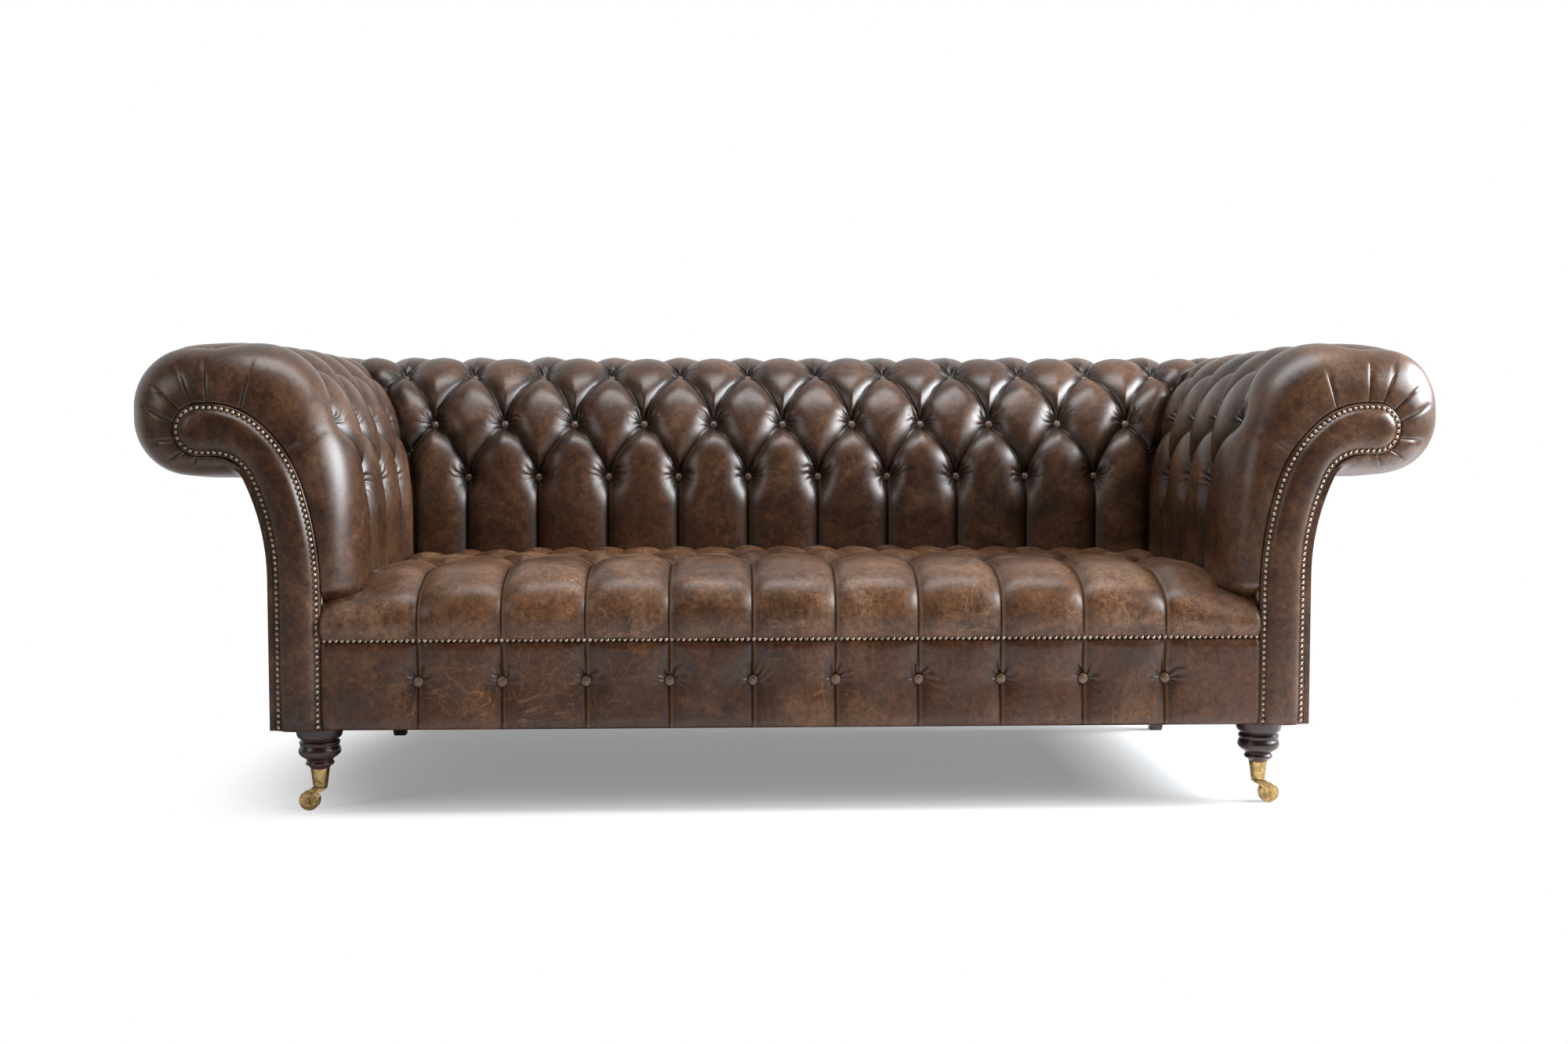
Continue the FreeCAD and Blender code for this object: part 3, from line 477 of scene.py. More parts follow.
def nearButtons(across, run, centres, rows, lowest=-away, highest=away):
    # Distance and offset to the nearest button
    best = np.full(across.shape, away)
    offset = np.full((*across.shape, 2), away)
    for index, row in enumerate(rows):
        shift = halfPitch * (index % 2)
        first = centres[0] + shift
        column = first + np.round((across - first) / (2 * halfPitch)) * 2 * halfPitch
        column = np.clip(column, lowest - shift, highest + shift)
        here = np.stack([across - column, run - row], axis=-1)
        far = np.hypot(here[..., 0], here[..., 1])
        offset = np.where((far < best)[..., None], here, offset)
        best = np.minimum(best, far)
    offset = np.where((best < padding["gatherReach"])[..., None], offset, away)
    return best, np.concatenate([offset, np.zeros_like(offset[..., :1])], axis=-1)


def pillow(distance, width):
    share = np.clip(distance / width, 0, 1)
    return (1 - (1 - share) ** 2.3) ** 0.8


def halfOpening(run, rows):
    # How far the two creases that leave a button have spread at this run, from 0 to 1
    phase = np.interp(run, rows, np.arange(len(rows)))
    share = (phase % 1) ** padding["archPower"]
    return np.where(phase % 2 < 1, share, 1 - share)


def sheetColumns(centres, swing, low, high):
    # Places across one row: the creases, and evenly rounded steps between them
    spread = padding["sliver"] + swing * (halfPitch - 2 * padding["sliver"])
    places = sorted(c + side * spread for c in centres for side in (-1, 1))
    gap, count = padding["cutGap"], len(places)
    for index in range(count):
        places[index] = min(max(places[index], low + (index + 1) * gap), high - (count - index) * gap)
    stops = [low] + places + [high]
    steps = np.arange(padding["cuts"]) / padding["cuts"]
    steps = padding["rounding"] * (0.5 - 0.5 * np.cos(np.pi * steps)) + (1 - padding["rounding"]) * steps
    columns = np.concatenate([a + (b - a) * steps for a, b in zip(stops, stops[1:])])
    return np.append(columns, high)


def sheetRuns(end, rows):
    stops = [0.0] + list(rows) + [end]
    runs = []
    for a, b in zip(stops, stops[1:]):
        count = max(2, int(round((b - a) / padding["rowStep"])))
        runs += list(a + (b - a) * np.arange(count) / count)
    return np.array(runs + [end])


def sheetGrid(runs, centres, openings, lows, highs, before=()):
    # Across and run of every point of a sheet
    across = np.array([np.append(before, sheetColumns(centres, *row)) for row in zip(openings, lows, highs)])
    return across, np.repeat(runs[:, None], across.shape[1], axis=1)


def backStrip(*edges):
    # The back of a pad, a strip between its two edges
    return np.stack([np.stack(np.broadcast_arrays(*edge), axis=-1) for edge in edges], axis=1)


def closedPad(name, grid, lining, material, facts):
    # One closed skin: the padded face, its lining and the edges between them
    rows, columns = grid.shape[:2]
    base = rows * columns
    faces = []
    for j in range(rows - 1):
        a = j * columns
        faces += [(a + i, a + i + 1, a + columns + i + 1, a + columns + i) for i in range(columns - 1)]
        low, high = base + 2 * j, base + 2 * j + 1
        faces += [(low, low + 2, high + 2, high), (a, a + columns, low + 2, low),
                  (a + columns - 1, high, high + 2, a + 2 * columns - 1)]
    top = (rows - 1) * columns
    faces.append(tuple([base, base + 1] + list(range(columns - 1, -1, -1))))
    faces.append(tuple(list(range(top, top + columns)) + [base + 2 * rows - 1, base + 2 * rows - 2]))
    verts = np.concatenate([grid.reshape(-1, 3), lining.reshape(-1, 3)]).tolist()
    pad = addObject(name, newMesh(name, verts, faces), material)
    # The lining counts as padding with no fullness, so it takes the darkest painted shade
    liningFacts = {"crease": 0.03, "side": 0.0, "fullness": 0.0}
    for key, value in liningFacts.items():
        addAttribute(pad.data, key, np.concatenate([facts[key].reshape(-1), np.full(2 * rows, value)]))
    offsets = np.concatenate([facts["buttonOffset"].reshape(-1, 3), np.full((2 * rows, 3), away)])
    addAttribute(pad.data, "buttonOffset", offsets, "FLOAT_VECTOR")
    outwardFaces(pad.data)
    return pad


# The crest is the line that the back and the arms share: up the inside, over the roll and under it.
crestMoves = [("line", 0.1875), ("arc", 0.56, 14), ("arc", 0.33, 18), ("arc", 0.2, 18), ("arc", 0.12, 32),
              ("arc", 0.43, 18), ("arc", 0.1, 80), ("line", 0.02), ("arc", 0.096, 82), ("arc", 0.3, 8),
              ("line", 0.0605)]
crest = tracePath((0.0, 0.295), crestMoves)
crestEnd = crest[-1, 0]
crestRows = list(layout["firstRow"] + np.cumsum([0.0] + layout["rowSpacing"]))
crestLining = {
    "run": [0.0, 0.1265, 0.2575, 0.3155, 0.3735, 0.4415, 0.5095, 0.5735, 0.6375, 0.702, 0.767, 0.832, 0.897,
            0.962, 1.027, crestEnd],
    # in millimetres
    "reach": [53.7, 53.7, 65.9, 81.8, 102.2, 131.8, 159.7, 183.4, 233.7, 258.6, 280.6, 292.0, 289.2, 273.1,
              248.7, 222.7],
    "rise": [295.0, 421.5, 544.6, 593.8, 635.5, 675.6, 694.0, 698.5, 699.0, 689.5, 676.2, 653.1, 627.5, 607.5,
             599.2, 599.1],
}
overshoot = 0.01              # of a crease past the end of its sheet
buttonSeats = {}


def liningAt(runs):
    return [np.interp(runs, crestLining["run"], crestLining[key]) / 1000 for key in ("reach", "rise")]


def crestDepth(run):
    # Depth of the creases along the run
    rows = crestRows
    return np.interp(run, [0, rows[0] - 0.09, rows[0], rows[3], rows[3] + 0.12, crestEnd],
                     [padding[key] for key in ("seamDepth", "seamDepth", "creaseDepth", "creaseDepth",
                                               "rollDepth", "endDepth")])


def quiltHeight(across, run, centres, rows, depth, seed, lines, lowest=-away, pitDepth=padding["pitDepth"]):
    distance, side = nearLines(across, run, lines)
    near, offset = nearButtons(across, run, centres, rows, lowest)
    full = pillow(distance, padding["puffWidth"])
    height = padding["loft"] * full - depth * (1 - full)
    height -= pitDepth * np.exp(-(near / padding["pitRadius"]) ** 1.6)
    height += padding["uneven"] * wander(across, run, seed) * full
    height += padding["fold"] * side * np.exp(-distance / padding["foldWidth"]) * np.clip(near / 0.02, 0, 1)
    # fullness falls at the creases and near the buttons, where it darkens the colour as painted shade
    return height, {"crease": distance, "side": side, "buttonOffset": offset,
                    "fullness": full * np.clip((near - 0.006) / 0.028, 0.05, 1)}


def drawnIn(height, facts, apart):
    # The padding sinks where it meets its neighbour, and its colour is darkened there as painted shade
    seam = pillow(apart * 0.8, padding["puffWidth"])
    facts["fullness"] = facts["fullness"] * (0.3 + 0.7 * seam)
    return height - padding["drawnIn"] * (1 - seam)


def crestPlace(reach, rise, heading, height):
    return reach - height * np.cos(heading), rise + height * np.sin(heading)


def rowCentres(centres, index):
    shifts = (-halfPitch, halfPitch) if index % 2 else (0,)
    return sorted({round(c + shift, 6) for c in centres for shift in shifts})


def crestButtons(centres, limit):
    # Place across, reach, rise and heading of each button on the crest
    lift = -(padding["creaseDepth"] + padding["pitDepth"]) + padding["buttonRise"]
    found = []
    for index, row in enumerate(crestRows):
        reach, rise, heading = along(crest, row)
        found += [(c, *crestPlace(reach, rise, heading, lift), heading) for c in rowCentres(centres, index)
                  if abs(c) < limit + reach - padding["buttonMargin"]]
    return found


def makeBackPad():
    centres = [halfPitch + layout["pitch"] * index for index in range(-7, 7)]
    lines = creaseLines(centres, crestRows, -overshoot, crestEnd + overshoot)
    runs = sheetRuns(crestEnd, crestRows)
    reach, rise, heading = along(crest, runs)
    limits = layout["insideHalf"] + reach
    across, run = sheetGrid(runs, centres, halfOpening(runs, crestRows), clearance - limits,
                            limits - clearance)
    height, facts = quiltHeight(across, run, centres, crestRows, crestDepth(run), 3, lines)
    height = drawnIn(height, facts, limits[:, None] - np.abs(across))
    outReach, outRise = crestPlace(reach[:, None], rise[:, None], heading[:, None], height)
    for column, sign in ((0, -1), (-1, 1)):
        across[:, column] = sign * (layout["insideHalf"] + outReach[:, column] - clearance)
    depth = frontShift + layout["seatDepth"]
    grid = np.stack([across, depth + outReach, outRise], axis=-1)
    inReach, inRise = liningAt(runs)
    edge = layout["insideHalf"] + inReach - clearance
    lining = backStrip((-edge, depth + inReach, inRise), (edge, depth + inReach, inRise))
    buttonSeats["back_buttons"] = [((c, depth + r, z), (0, -math.cos(h), math.sin(h)))
                                   for c, r, z, h in crestButtons(centres, layout["insideHalf"])]
    return closedPad("backPadding", grid, lining, padLeather, facts)


# Shaped wooden fronts under leather, one for each arm
scroll = [("line", 0.230), ("arc", 0.600, 17), ("arc", 0.230, 33), ("arc", 0.125, 40), ("line", 0.014),
          ("arc", 0.043, 180), ("line", 0.024), ("arc", -0.060, 65), ("arc", -0.400, 25)]
scrollCuts = [10, 14, 14, 14, 3, 40, 4, 12, 12]
edgeRows, neckRows = 1 + sum(scrollCuts[:7]), 1 + sum(scrollCuts[:8])
armBoard = {
    "inset": 0.054,          # from the arm's inner face
    "footCuts": 8,
    # inset from the edge and depth: a flat margin for the nails, then a padded channel
    "rings": [(0.0, 0.012), (0.0, 0.0035), (0.0005, 0.0018), (0.0016, 0.0006), (0.0034, 0.0), (0.0060, 0.0006),
              (0.0078, 0.0008), (0.0092, -0.0004), (0.0112, -0.0032), (0.0140, -0.0062), (0.0175, -0.0086),
              (0.0215, -0.0102), (0.0260, -0.0111), (0.0310, -0.0115), (0.0350, -0.0116)],
}


def scrollOutline(inset):
    moves = [move if move[0] == "line" else ("arc", move[1] - inset, move[2]) for move in scroll]
    return tracePath((armBoard["inset"] + inset, layout["railBottom"]), moves, 0.0, scrollCuts)


def nearestOn(path, reaches, rises):
    # Nearest point of a finely divided outline to each given point
    fine = np.linspace(0, len(path) - 1, 4000)
    u, z = [np.interp(fine, np.arange(len(path)), path[:, column]) for column in (1, 2)]
    best = [int(np.argmin((u - a) ** 2 + (z - b) ** 2)) for a, b in zip(reaches, rises)]
    return u[best], z[best]


armFront = {
    "start": 0.004,          # where the padding begins behind the arm front
    "depth": 0.100,          # how far back the rounded front reaches
    "sheet": 0.146,          # the leather's length round it
    "cuts": 30,
    "rounding": 1.05,
    "rearColumn": 0.447,     # of buttons, and how many there are
    "columns": 3,
    # the low corner gives way to the seat: how far, up to which rise, over which height
    "corner": 0.05, "cornerRise": 0.378, "cornerHeight": 0.034, "cornerRun": 0.2,
    "rollForward": 0.003,    # how far the roll's end comes forward again
    "pleatDepth": 0.0030, "pleatWidth": 0.004, "pleatLap": 0.0008, "pleatFade": 0.085,
    "pleatRows": [-0.005, -0.0025, 0.0, 0.0025, 0.005],        # finer rows beside each pleat
    "closest": 0.0012,       # that two rows may be
    "liningBack": 0.028,
    # under the roll the padding is tucked up against the outer panel: crest and lining
    "tuck": [((0.1880, 0.5668), (0.2085, 0.5945)), ((0.1855, 0.5665), (0.1935, 0.5815)),
             ((0.1835, 0.5683), (0.1872, 0.5755))],
    "tuckStep": 0.006,
    # folds that run from the arm front's nails: run, length and how far they lean
    "pleats": [(0.545, 0.075, 0.012), (0.640, 0.066, 0.004), (0.705, 0.072, -0.004), (0.762, 0.055, 0.006),
               (0.822, 0.062, -0.003), (0.893, 0.05, 0.004), (0.957, 0.055, 0.0), (1.02, 0.045, -0.004)],
}
edgeAt = armFront["start"] + armFront["depth"] - armFront["sheet"]


def armCreases(wide, first):
    # None in front of the first buttons but the two long pleats and the folds at the nails
    rows = crestRows
    corner = first - halfPitch
    lines = [line for line in creaseLines(wide, rows, -overshoot, crestEnd + overshoot)
             if min(line[0], line[2]) > corner - 0.001 and not (line[1] < rows[0] and line[0] < first - 0.001)]
    long = [(corner, rows[1], edgeAt, rows[1] - 0.03), (corner, rows[1], corner - 0.05, rows[1] + 0.03)]
    return lines, long + [(edgeAt, run, edgeAt + length, run + lean)
                          for run, length, lean in armFront["pleats"]]


def armRuns():
    # Rows along the crest, closer together at the folds
    finer = [np.array([run + step for step in armFront["pleatRows"]])
             for run, length, lean in armFront["pleats"]]
    runs = np.sort(np.concatenate([sheetRuns(crestEnd, crestRows)] + finer))
    return runs[np.r_[True, np.diff(runs) > armFront["closest"]]]


def makeArmPad(name, side):
    centres = [armFront["rearColumn"] - layout["pitch"] * index for index in range(armFront["columns"])]
    wide = sorted(armFront["rearColumn"] - layout["pitch"] * index for index in range(-2, armFront["columns"]))
    first = centres[-1]
    lines, pleats = armCreases(wide, first)
    runs = armRuns()
    reach, rise, heading = along(crest, runs)
    inReach, inRise = liningAt(runs)
    edge = scrollOutline(-0.0008)
    startReach, startRise = nearestOn(edge[:edgeRows], inReach, inRise)
    outer, inner = [np.array(part) for part in zip(*armFront["tuck"])]
    neckReach, neckRise = nearestOn(edge[:neckRows], inner[:, 0], inner[:, 1])
    reach, rise = np.append(reach, outer[:, 0]), np.append(rise, outer[:, 1])
    inReach, inRise = np.append(inReach, inner[:, 0]), np.append(inRise, inner[:, 1])
    startReach, startRise = np.append(startReach, neckReach), np.append(startRise, neckRise)
    heading = np.append(heading, [heading[-1]] * len(outer))
    runs = np.append(runs, crestEnd + armFront["tuckStep"] * np.arange(1, len(outer) + 1))

    # The front edge turns over to meet the arm front, counted here along the leather
    cuts, rear = armFront["cuts"], armFront["start"] + armFront["depth"]
    turn = np.linspace(0, math.pi / 2, cuts + 1)[:-1]
    sheet = rear - armFront["sheet"] * (1 - turn / (math.pi / 2))
    across, run = sheetGrid(runs, wide, halfOpening(runs, crestRows), np.full_like(runs, rear),
                            layout["seatDepth"] + reach - clearance, sheet)
    corner = np.clip((armFront["cornerRise"] - rise) / armFront["cornerHeight"], 0, 1)
    start = armFront["start"] + armFront["corner"] * corner * (runs < armFront["cornerRun"])
    start = start - armFront["rollForward"] * np.clip((runs - crestEnd + 0.05) / 0.03, 0, 1)
    depth = across.copy()
    depth[:, :cuts] = start[:, None] + (rear - start)[:, None] * (1 - np.cos(turn)) ** armFront["rounding"]
    angle = np.append(turn, np.full(across.shape[1] - cuts, math.pi / 2))[None, :]
    share = np.sin(angle)

    height, facts = quiltHeight(across, run, [first - layout["pitch"]] + sorted(centres), crestRows,
                                crestDepth(run), 11 + side, lines, lowest=first)
    tucked, lap = nearLines(across, run, pleats)
    fading = np.clip((edgeAt + armFront["pleatFade"] - across) / 0.05, 0, 1)
    pleat = fading * (armFront["pleatLap"] * lap * np.exp(-tucked / 0.007)
                      - armFront["pleatDepth"] * np.exp(-(tucked / armFront["pleatWidth"]) ** 1.3))
    tucked = tucked + armFront["pleatWidth"] * (1 - fading)
    facts["side"] = np.where(tucked < facts["crease"], 0, facts["side"])
    facts["crease"] = np.minimum(tucked, facts["crease"])
    height = drawnIn(height, facts, layout["seatDepth"] + reach[:, None] - across)
    height = height * np.clip(share * 0.8 + 0.2, 0, 1) * np.clip(angle / 0.3, 0, 1)
    height = height + pleat * np.clip(angle / 0.06, 0.3, 1)

    outReach = startReach[:, None] + share * (reach - startReach)[:, None]
    outRise = startRise[:, None] + share * (rise - startRise)[:, None]
    outReach, outRise = crestPlace(outReach, outRise, heading[:, None], height * share)
    depth = depth - height * np.cos(angle)
    depth[:, -1] = layout["seatDepth"] + outReach[:, -1] - clearance
    grid = np.stack([side * (layout["insideHalf"] + outReach), frontShift + depth, outRise], axis=-1)
    liningX = side * (layout["insideHalf"] + inReach)
    lining = backStrip((liningX, frontShift + (depth[:, 0] + armFront["liningBack"]), inRise),
                       (liningX, frontShift + (layout["seatDepth"] + inReach - clearance), inRise))
    buttonSeats[("left" if side < 0 else "right") + "_arm_buttons"] = [
        ((side * (layout["insideHalf"] + r), frontShift + c, z), (-side * math.cos(h), 0, math.sin(h)))
        for c, r, z, h in crestButtons(centres, layout["seatDepth"])]
    return closedPad(name, grid, lining, padLeather, facts)


seatShape = {
    "bottom": 0.2942, "front": 0.0035, "lean": 8.0, "half": 0.7343,
    "moves": [("line", 0.025), ("arc", 0.075, 78), ("arc", 0.26, 21), ("line", 0.46)],
    "ear": 0.0535, "earDepth": 0.058, "earStep": 0.02,         # it spreads between the arm fronts
    "rows": [0.26, 0.37, 0.48], "lastCrease": 0.11,
    "creaseDepth": 0.010, "pitDepth": 0.013, "seamDepth": 0.011, "buttonRise": 0.003,
    "buttonLimit": 0.705, "creaseLimit": 0.7,                  # from the middle
    "sideWidth": 0.04, "sideSink": 0.006,                      # beside the arms
    # how far it falls at its sides, by depth, and in the shape of which power
    "sideFall": [(0.0, 0.036), (0.05, 0.032), (0.10, 0.016), (0.2, 0.010), (0.35, 0.008), (0.56, 0.006)],
    "fallPower": 7, "crown": 0.006, "fullRise": 0.121, "liningDepth": 0.0405,
}


def seatDrop(across, depth):
    # How far the seat's surface falls away from its middle, and how steeply
    half, power = seatShape["half"], seatShape["fallPower"]
    fall = np.interp(depth, *zip(*seatShape["sideFall"]))
    drop = fall * np.minimum(np.abs(across) / half, 1) ** power + seatShape["crown"] * (across / half) ** 2
    return drop, power * fall * np.abs(across) ** (power - 1) / half ** power * np.sign(across)


def makeSeatPad():
    trace = tracePath((seatShape["front"], seatShape["bottom"]), seatShape["moves"],
                      -math.radians(seatShape["lean"]))
    trace = trace[trace[:, 1] < layout["seatDepth"] - clearance]
    end = trace[-1, 0]
    flat = trace[trace[:, 1] > 0.1]
    rows = [float(np.interp(y, flat[:, 1], flat[:, 0])) for y in seatShape["rows"]]
    centres = [halfPitch + layout["pitch"] * index for index in range(-5, 5)]
    last = rows[-1] + seatShape["lastCrease"]
    lines = [line for line in creaseLines(centres, rows, -overshoot, None)
             if line[1] >= 0 or abs(line[0]) < seatShape["creaseLimit"]]
    lines += [(c, rows[-1], c + shift, last) for c in centres for shift in (-halfPitch, halfPitch)]
    runs = sheetRuns(end, rows)
    reach, rise, heading = along(trace, runs)
    ear = np.clip((seatShape["earDepth"] - reach) / seatShape["earStep"], 0, 1)
    limits = seatShape["half"] + seatShape["ear"] * ear
    across, run = sheetGrid(runs, centres, halfOpening(runs, rows + [last]), -limits, limits)
    deep = seatShape["creaseDepth"]
    depth = np.interp(run, [0, 0.07, 0.14, rows[0], end], [0.005, 0.006, seatShape["seamDepth"], deep, deep])
    height, facts = quiltHeight(across, run, centres, rows, depth, 23, lines, pitDepth=seatShape["pitDepth"])
    edge = pillow(limits[:, None] - np.abs(across) + 0.004, seatShape["sideWidth"])
    # Painted shade where the seat tucks in beside the arms
    facts["fullness"] = facts["fullness"] * (0.35 + 0.65 * edge)
    height = height * np.clip((run + 0.004) / 0.03, 0, 1)
    outReach, outRise = crestPlace(reach[:, None], rise[:, None], heading[:, None], height)
    weight = np.clip((outRise - seatShape["bottom"]) / seatShape["fullRise"], 0, 1)
    outRise = outRise - seatDrop(across, outReach)[0] * weight - seatShape["sideSink"] * (1 - edge) * weight
    grid = np.stack([across, frontShift + outReach, outRise], axis=-1)
    low = frontShift + np.maximum(reach, seatShape["liningDepth"])
    lining = backStrip((-limits, low, seatShape["bottom"]), (limits, low, seatShape["bottom"]))
    seats = buttonSeats["seat_buttons"] = []
    for index, row in enumerate(rows):
        r, z, h = along(trace, row)
        for c in rowCentres(centres, index):
            if abs(c) < seatShape["buttonLimit"]:
                drop, slope = seatDrop(c, r)
                low = z - deep - seatShape["pitDepth"] - drop + seatShape["buttonRise"]
                seats.append(((c, frontShift + r, low), (slope, 0, 1)))
    return closedPad("seatPadding", grid, lining, seatLeather, facts)


borderShape = {
    "loft": 0.006, "front": 0.004, "back": 0.0177, "top": 0.2937, "half": 0.7884, "rows": 30,
    "creaseDepth": 0.0050, "puffWidth": 0.045, "uneven": 0.0012, "pitDepth": 0.010, "pitRadius": 0.030,
    "buttonHeight": 0.2235, "buttonRise": 0.0055, "endFade": 0.012,
}


def makeBorderPad():
    centres = [halfPitch + layout["pitch"] * index for index in range(-5, 5)]
    low, high, limit = layout["railBottom"], borderShape["top"], borderShape["half"]
    middle = borderShape["buttonHeight"]
    runs = np.linspace(low, high, borderShape["rows"])
    sides = np.full_like(runs, limit)
    across, run = sheetGrid(runs, centres, 0 * runs, -sides, sides)
    distance, side = nearLines(across, run, [(c, low - 0.1, c, high + 0.1) for c in centres])
    near, offset = nearButtons(across, run, centres, [middle], centres[0], centres[-1])
    full = pillow(distance, borderShape["puffWidth"])
    height = borderShape["loft"] * full - borderShape["creaseDepth"] * (1 - full)
    height -= borderShape["pitDepth"] * np.exp(-(near / borderShape["pitRadius"]) ** 1.3)
    height += borderShape["uneven"] * wander(across, run, 31) * full
    ends = np.clip(np.minimum(run - low, high - run) / borderShape["endFade"], 0, 1)
    height = height * (0.3 + 0.7 * ends) - 0.003 * (1 - ends) ** 2
    front = frontShift + borderShape["front"]
    # fullness falls at the creases and round the buttons, where it darkens the colour as painted shade
    facts = {"crease": distance, "side": side, "buttonOffset": offset,
             "fullness": full * np.clip((near - 0.004) / 0.03, 0.1, 1)}
    back = frontShift + borderShape["back"]
    sink = borderShape["creaseDepth"] + borderShape["pitDepth"] - borderShape["buttonRise"]
    buttonSeats["border_buttons"] = [((c, front + sink, middle), (0, -1, 0)) for c in centres]
    return closedPad("borderPadding", np.stack([across, front - height, run], axis=-1),
                     backStrip((-limit, back, runs), (limit, back, runs)), borderLeather, facts)


backPad = makeBackPad()
armPads = {"left": makeArmPad("leftArmPadding", -1), "right": makeArmPad("rightArmPadding", 1)}
seatPad = makeSeatPad()
borderPad = makeBorderPad()
print("padding made")


def makeArmBoard(name, side):
    verts = []
    for inset, depth in armBoard["rings"]:
        outline = [(row[1], row[2]) for row in scrollOutline(inset)]
        u, low = outline[-1]
        outline += [(u, low + (layout["railBottom"] - low) * (k + 1) / armBoard["footCuts"])
                    for k in range(armBoard["footCuts"])]
        verts += [(side * (layout["insideHalf"] + u), frontShift + depth, z) for u, z in outline]
    mesh = newMesh(name, verts, ringFaces(len(outline), len(armBoard["rings"])))
    outwardFaces(mesh)
    return addObject(name, mesh, panelLeather)


armBoards = {"left": makeArmBoard("leftArmFront", -1), "right": makeArmBoard("rightArmFront", 1)}
print("arm fronts made")


# Domed heads set on points with a direction each: the nails, and the covered buttons
def makeDomeTree(name):
    tree = bpy.data.node_groups.new(name, "GeometryNodeTree")
    tree.is_modifier = True
    face = tree.interface
    face.new_socket(name="Geometry", in_out="INPUT", socket_type="NodeSocketGeometry")
    for label, value in {"Radius": 0.004, "Height": 0.002, "Unevenness": 0.05, "Segments": 12, "Rings": 6,
                         "Seed": 1}.items():
        kind = "NodeSocketInt" if isinstance(value, int) else "NodeSocketFloat"
        face.new_socket(name=label, in_out="INPUT", socket_type=kind).default_value = value
    face.new_socket(name="Material", in_out="INPUT", socket_type="NodeSocketMaterial")
    face.new_socket(name="Geometry", in_out="OUTPUT", socket_type="NodeSocketGeometry")
    given = tree.nodes.new("NodeGroupInput").outputs
    ball = put(tree, "GeometryNodeMeshUVSphere", Radius=1.0, Segments=given["Segments"], Rings=given["Rings"])
    size = put(tree, "ShaderNodeCombineXYZ", X=given["Radius"], Y=given["Radius"], Z=given["Height"])
    flatten = put(tree, "GeometryNodeTransform", Geometry=ball.outputs["Mesh"], Scale=size.outputs[0])
    aim = put(tree, "GeometryNodeInputNamedAttribute", data_type="FLOAT_VECTOR", Name="aim")
    tilt = put(tree, "FunctionNodeRandomValue", data_type="FLOAT_VECTOR", Min=(-1, -1, -1), Max=(1, 1, 1),
               Seed=given["Seed"])
    spread = put(tree, "ShaderNodeVectorMath", operation="SCALE", Vector=tilt.outputs[0],
                 Scale=given["Unevenness"])
    lean = put(tree, "ShaderNodeVectorMath", operation="ADD", Vector=aim.outputs["Attribute"])
    feed(tree, spread.outputs[0], lean.inputs[1])
    turn = put(tree, "FunctionNodeAlignRotationToVector", axis="Z", Vector=lean.outputs[0])
    place = put(tree, "GeometryNodeInstanceOnPoints", Points=given["Geometry"],
                Instance=flatten.outputs["Geometry"], Rotation=turn.outputs[0])
    real = put(tree, "GeometryNodeRealizeInstances", Geometry=place.outputs[0])
    smooth = put(tree, "GeometryNodeSetShadeSmooth", Geometry=real.outputs[0])
    finish = put(tree, "GeometryNodeSetMaterial", Geometry=smooth.outputs[0], Material=given["Material"])
    feed(tree, finish.outputs[0], tree.nodes.new("NodeGroupOutput").inputs[0])
    return tree


domeTree = makeDomeTree("domesOnPoints")


def domes(name, seats, **values):
    holder = addObject(name + "Points", newMesh(name + "Points", [seat for seat, aim in seats], []))
    addAttribute(holder.data, "aim", [Vector(aim).normalized()[:] for seat, aim in seats], "FLOAT_VECTOR")
    modifier = holder.modifiers.new("domes", "NODES")
    modifier.node_group = domeTree
    for item in domeTree.interface.items_tree:
        if item.in_out == "INPUT" and item.name in values:
            modifier[item.identifier] = values[item.name]
    evaluated = holder.evaluated_get(bpy.context.evaluated_depsgraph_get())
    mesh = bpy.data.meshes.new_from_object(evaluated)
    mesh.name = name
    holder.modifiers.remove(modifier)
    bpy.data.objects.remove(holder)
    return addObject(name, mesh)


nail = {
    "pitch": 0.0098, "radius": 0.0034, "height": 0.0026, "unevenness": 0.07, "segments": 12, "rings": 6,
    "seed": 5,
    "inset": 0.0066,          # from the arm board's edge
    "sunk": 0.0004, "lowest": 0.006,
    "railRise": 0.2941, "railDepth": 0.0026, "railHalf": 0.7835,
}
button = {
    "radius": 0.0088, "borderRadius": 0.0092, "height": 0.0056, "unevenness": 0.08, "segments": 24,
    "rings": 12, "seed": 20,
}


def evenly(points):
    # Nail places the same distance apart along a broken line
    points = np.array(points)
    steps = np.r_[0, np.cumsum(np.hypot(*np.diff(points, axis=0).T))]
    at = np.linspace(0, steps[-1], int(round(steps[-1] / nail["pitch"])) + 1)
    return np.stack([np.interp(at, steps, points[:, 0]), np.interp(at, steps, points[:, 1])], axis=-1)


def armNailSeats(side):
    path = scrollOutline(nail["inset"])
    lowest = layout["railBottom"] + nail["lowest"]
    line = [(row[1], row[2]) for row in path] + [(path[-1, 1], lowest)]
    line[0] = (line[0][0], lowest)
    return [((side * (layout["insideHalf"] + u), frontShift - nail["sunk"], z), (0, -1, 0))
            for u, z in evenly(line)]


def domeValues(sizes, radius, index, material):
    return dict(Radius=radius, Height=sizes["height"], Unevenness=sizes["unevenness"],
                Segments=sizes["segments"], Rings=sizes["rings"], Seed=sizes["seed"] + index, Material=material)


